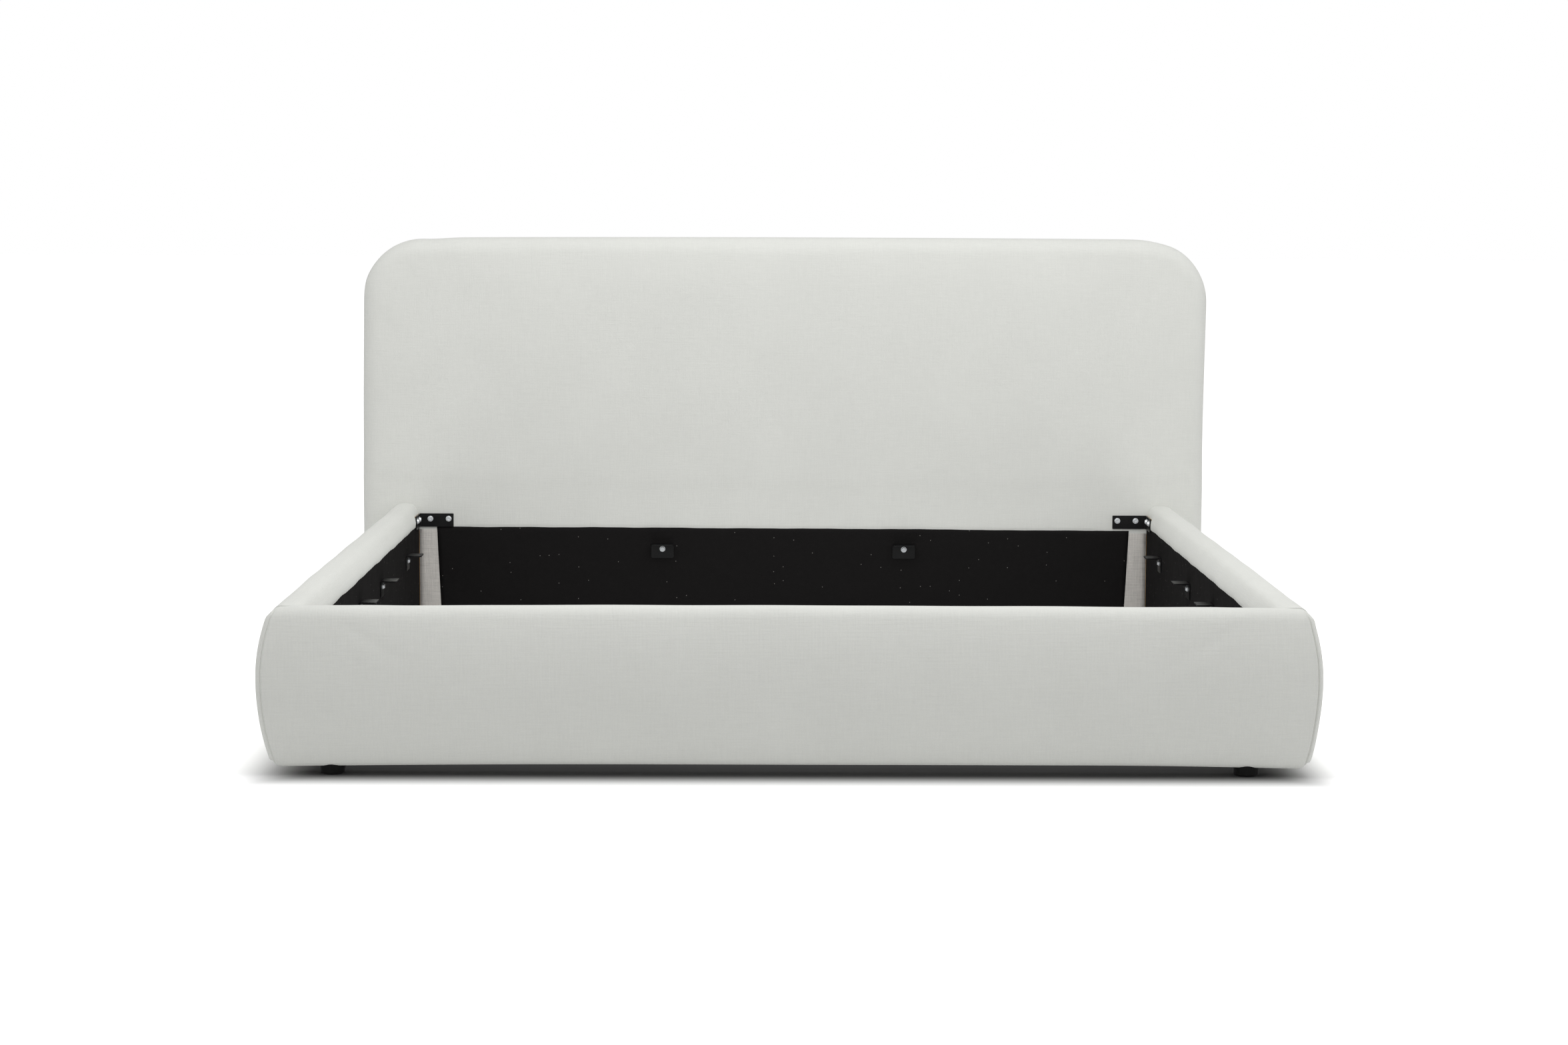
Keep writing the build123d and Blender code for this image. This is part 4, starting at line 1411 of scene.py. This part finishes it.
@dataclass(frozen=True)
class Staples:
    """Upholstery staples, set one after another along a line, in metres."""

    spacing: float = 42 * MM
    width: float = 11 * MM
    wire: float = 0.7 * MM
    stray: float = 0.12
    seed: int = 4

    def tree(self, finish: Material) -> tuple[NodeTree, dict[str, str]]:
        """Build the node tree.

        Args:
            finish: Material of the staples.

        Returns:
            The tree, and the identifier of each named input.
        """
        tree = bpy.data.node_groups.new("staples_along_line", "GeometryNodeTree")
        add, socket = partial(add_node, tree), tree.interface.new_socket
        socket("Geometry", in_out="OUTPUT", socket_type="NodeSocketGeometry")
        socket("Geometry", in_out="INPUT", socket_type="NodeSocketGeometry")
        names = {
            name: socket(name, in_out="INPUT", socket_type="NodeSocketFloat").identifier
            for name in ("Spacing", "Width", "Wire", "Stray")
        }
        given = add("NodeGroupInput").outputs
        line = add("GeometryNodeMeshToCurve", {"Mesh": given["Geometry"]})
        spots = add("GeometryNodeCurveToPoints", {"Curve": line, "Length": given["Spacing"]},
                    mode="LENGTH").outputs
        wire = add("GeometryNodeMeshCylinder",
                   {"Vertices": 6, "Radius": given["Wire"], "Depth": given["Width"]})
        turned = add("FunctionNodeAlignRotationToVector", {"Vector": spots["Tangent"]}, axis="Z")
        low = add("ShaderNodeMath", {0: given["Stray"], 1: -1.0}, operation="MULTIPLY")
        stray = add("FunctionNodeRandomValue",
                    {"Min": low.outputs[0], "Max": given["Stray"], "Seed": self.seed},
                    data_type="FLOAT").outputs["Value"]
        crooked = add("FunctionNodeAxisAngleToRotation", {"Axis": (0.0, 1.0, 0.0), "Angle": stray})
        tilt = add("FunctionNodeRotateRotation", {"Rotation": turned, "Rotate By": crooked},
                   rotation_space="GLOBAL")
        placed = add("GeometryNodeInstanceOnPoints", {
            "Points": spots["Points"], "Instance": wire.outputs["Mesh"], "Rotation": tilt,
        })
        real = add("GeometryNodeRealizeInstances", {"Geometry": placed})
        dressed = add("GeometryNodeSetMaterial", {"Geometry": real, "Material": finish})
        add("NodeGroupOutput", {"Geometry": dressed})
        return tree, names

    def set_along(self, piece: Object, finish: Material) -> None:
        """Turn a line into staples along it.

        Args:
            piece: Object whose mesh is the line; it becomes the staples.
            finish: Material of the staples.
        """
        nodes = piece.modifiers.new("staples", "NODES")
        nodes.node_group, names = self.tree(finish)
        for name, identifier in names.items():
            nodes[identifier] = getattr(self, name.lower())
        view = piece.evaluated_get(bpy.context.evaluated_depsgraph_get())
        mesh = bpy.data.meshes.new_from_object(view)
        mesh.name = piece.name
        piece.modifiers.clear()
        piece.data = mesh


# Hardware and hidden timber


@dataclass
class Hardware:
    """Rigid CAD nodes, which keep their shapes and get their finishes."""

    finishes: Finishes

    def finish_of(self, node: str) -> Material | None:
        """Choose a node's finish by its name.

        Args:
            node: Name of the CAD node.

        Returns:
            Its material, or None for a soft node that another piece replaces.
        """
        if node.endswith(("cover", "foam", "lining", "strips", "cloth")):
            return None
        finishes = self.finishes
        choices = {
            ("bracket",): finishes.black_steel,
            ("bolts", "screws"): finishes.zinc,
            ("inserts",): finishes.brass,
            ("feet",): finishes.plastic,
            ("panel", "skin", "bolting_board", "board_board", "left_board", "right_board"):
                finishes.plywood,
        }
        for words, finish in choices.items():
            if any(word in node for word in words):
                return finish
        return finishes.pine

    def build(self) -> int:
        """Dress every rigid node.

        Returns:
            How many nodes were dressed.
        """
        dressed = {name: self.finish_of(name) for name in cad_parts}
        dressed = {name: finish for name, finish in dressed.items() if finish}
        for name, finish in dressed.items():
            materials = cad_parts[name].data.materials
            materials.clear()
            materials.append(finish)
        return len(dressed)


# Studio


@dataclass
class Studio:
    """Pale floor with a painted contact shadow, plain soft light and the camera of the photograph.
    """

    aside: float = -0.0605
    stand_back: float = 8.238
    eye_height: float = 1.150
    pitch: float = math.radians(5.91)
    yaw: float = math.radians(0.435)
    roll: float = math.radians(0.235)
    lens: float = 70.53
    horizon: float = 0.725
    zenith: float = 0.56
    side_glow: float = 1.1
    side_lean: float = 0.12
    softbox: float = 50.0
    softbox_size: Pair = (3.4, 1.6)
    softbox_place: Triple = (0.2, -1.2, 2.9)
    softbox_tilt: float = math.radians(46)
    floor_reach: float = 60.0
    floor_shade: float = 0.81
    seen_shade: float = 1.75
    # The painted contact shadow in the floor's colour to the camera: its tone, and where it fades
    # outside and inside the outline
    contact_shade: float = 0.08
    contact_outside: Pair = (-0.055, 0.158)
    contact_inside: Pair = (-0.17, -0.32)
    contact_inset: float = 0.055
    contact_shift: float = 0.002
    contact_corner: float = 0.06

    def build(self) -> None:
        """Build the floor, the lights, the world and the camera."""
        self.build_floor()
        self.build_world()
        self.build_lamp()
        self.build_camera()

    def build_floor(self) -> None:
        """Lay the floor: white, and brighter to the camera so that it meets the sky, with a contact
        shadow painted into the colour that the camera sees.
        """
        material, add = new_material("studio_floor")
        seen = add("ShaderNodeLightPath").outputs["Is Camera Ray"]
        shade = self.floor_shade
        plain = add("ShaderNodeBsdfDiffuse", {"Color": (shade, shade, shade, 1.0)})
        # The floor's colour to the camera carries the painted contact shadow
        bright = add("ShaderNodeBsdfDiffuse", {"Color": self.painted_contact_shadow(add)})
        mixed = add("ShaderNodeMixShader", {0: seen, 1: plain, 2: bright})
        add("ShaderNodeOutputMaterial", {"Surface": mixed})
        mesh = bpy.data.meshes.new("studio_floor")
        corners = [
            (x * self.floor_reach, y * self.floor_reach, 0)
            for x, y in ((-1, -1), (1, -1), (1, 1), (-1, 1))
        ]
        mesh.from_pydata(corners, [], [(0, 1, 2, 3)])
        mesh.materials.append(material)
        add_object("studio_floor", mesh)

    def painted_contact_shadow(self, add: Callable[..., Node]) -> NodeSocket:
        """Paint a contact shadow into the floor's colour where the bed stands low over it, along
        the bed's outline.

        Args:
            add: Adds a node to the floor's tree.

        Returns:
            Output that gives the floor's colour to the camera, with the painted shadow.
        """
        foot_low, foot_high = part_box("footboard_cover")
        _, head_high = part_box("headboard_cover")
        middle = (self.contact_shift, (foot_low.y + head_high.y) / 2, 0.0)
        half = (foot_high.x - self.contact_inset, (head_high.y - foot_low.y) / 2, 0.0)
        place = add("ShaderNodeTexCoord").outputs["Object"]
        moved = add("ShaderNodeVectorMath", {0: place, 1: middle}, operation="SUBTRACT")
        folded = add("ShaderNodeVectorMath", {0: moved}, operation="ABSOLUTE")
        beyond = add("ShaderNodeVectorMath", {0: folded, 1: half}, operation="SUBTRACT")
        parts = add("ShaderNodeSeparateXYZ", {0: beyond}).outputs
        outside = add("ShaderNodeMath", {0: parts[0], 1: parts[1], 2: self.contact_corner},
                      operation="SMOOTH_MAX")
        leaving, entering = (
            add("ShaderNodeMapRange", {
                "Value": outside, "From Min": start, "From Max": stop, "To Min": 1.0, "To Max": 0.0,
            }, interpolation_type="SMOOTHSTEP")
            for start, stop in (self.contact_outside, self.contact_inside)
        )
        # Share of the painted shadow: whole in a band just inside the outline, fading outwards and
        # towards the middle of the well
        inside = add("ShaderNodeMath", {0: leaving, 1: entering}, operation="MULTIPLY")
        light, dark = (
            (shade, shade, shade, 1.0) for shade in (self.seen_shade, self.contact_shade)
        )
        return add("ShaderNodeMix", {0: inside, 6: light, 7: dark}, data_type="RGBA").outputs[2]

    def build_world(self) -> None:
        """Light the room evenly, and show white behind the bed and in its reflections."""
        world = bpy.data.worlds.new("studio_world")
        bpy.context.scene.world = world
        world.use_nodes = True
        world.node_tree.nodes.clear()
        add = partial(add_node, world.node_tree)
        path = add("ShaderNodeLightPath").outputs
        direct = path["Is Camera Ray"]
        for ray in ("Is Glossy Ray", "Is Transmission Ray"):
            direct = add("ShaderNodeMath", {0: direct, 1: path[ray]}, operation="MAXIMUM")
        # The walls of the room are brighter than its ceiling, and those at the sides brightest
        way = add("ShaderNodeTexCoord").outputs["Generated"]
        ways = add("ShaderNodeSeparateXYZ", {0: way}).outputs
        glow = add("ShaderNodeMapRange", {
            "Value": ways[2], "From Max": 0.9, "To Min": self.horizon, "To Max": self.zenith,
        })
        leaning = add("ShaderNodeMath", {0: ways[0], 1: self.side_lean}, operation="ADD")
        sideways = add("ShaderNodeMath", {0: ways[0], 1: leaning}, operation="MULTIPLY")
        flanks = add("ShaderNodeMath", {0: sideways, 1: self.side_glow, 2: 1 - self.side_glow / 4},
                     operation="MULTIPLY_ADD")
        glow = add("ShaderNodeMath", {0: glow, 1: flanks}, operation="MULTIPLY")
        strength = add("ShaderNodeMix", {0: direct, 2: glow, 3: 1.0}, data_type="FLOAT")
        sky = add("ShaderNodeBackground", {"Color": (1.0, 1.0, 1.0, 1.0), "Strength": strength})
        add("ShaderNodeOutputWorld", {"Surface": sky})

    def build_lamp(self) -> None:
        """Hang a softbox above the foot of the bed, aimed at the headboard."""
        lamp = bpy.data.lights.new("softbox", "AREA")
        lamp.shape = "RECTANGLE"
        lamp.size, lamp.size_y = self.softbox_size
        lamp.energy = self.softbox
        box = add_object("softbox", lamp)
        box.location = self.softbox_place
        box.rotation_euler = (self.softbox_tilt, 0, 0)

    def build_camera(self) -> None:
        """Stand the camera where the photograph was taken from."""
        sin, cos = math.sin, math.cos
        level = cos(self.pitch)
        ahead = Vector((sin(self.yaw) * level, cos(self.yaw) * level, -sin(self.pitch)))
        right = Vector((cos(self.yaw), -sin(self.yaw), 0))
        up = right.cross(ahead)
        tilted = cos(self.roll) * right + sin(self.roll) * up
        above = cos(self.roll) * up - sin(self.roll) * right
        camera = bpy.data.cameras.new("photograph")
        camera.lens = self.lens
        camera.sensor_width = 36.0
        camera.sensor_fit = "HORIZONTAL"
        camera.clip_end = 200.0
        stand = add_object("photograph", camera)
        turn = Matrix((tilted, above, -ahead)).transposed().to_4x4()
        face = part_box("headboard_cover")[0].y
        eye = (self.aside, face - self.stand_back, self.eye_height)
        stand.matrix_world = Matrix.Translation(eye) @ turn
        bpy.context.scene.camera = stand
        bpy.context.scene.view_settings.view_transform = "Standard"


def main() -> None:
    """Build the bed and its studio, and report each piece."""
    logging.basicConfig(level=logging.INFO, format="%(message)s")
    finishes = Finishes()
    Studio().build()
    pieces = Headboard(finishes).build()
    for side, wider in ((Side.LEFT, 1 * MM), (Side.RIGHT, 4.5 * MM)):
        pieces += SideRail(finishes, side=side, wider=wider).build()
    pieces += Footboard(finishes).build()
    for piece in pieces:
        log.info("%s: %d faces", piece.name, len(piece.data.polygons))
    log.info("%d rigid nodes dressed", Hardware(finishes).build())


if __name__ == "__main__":
    main()
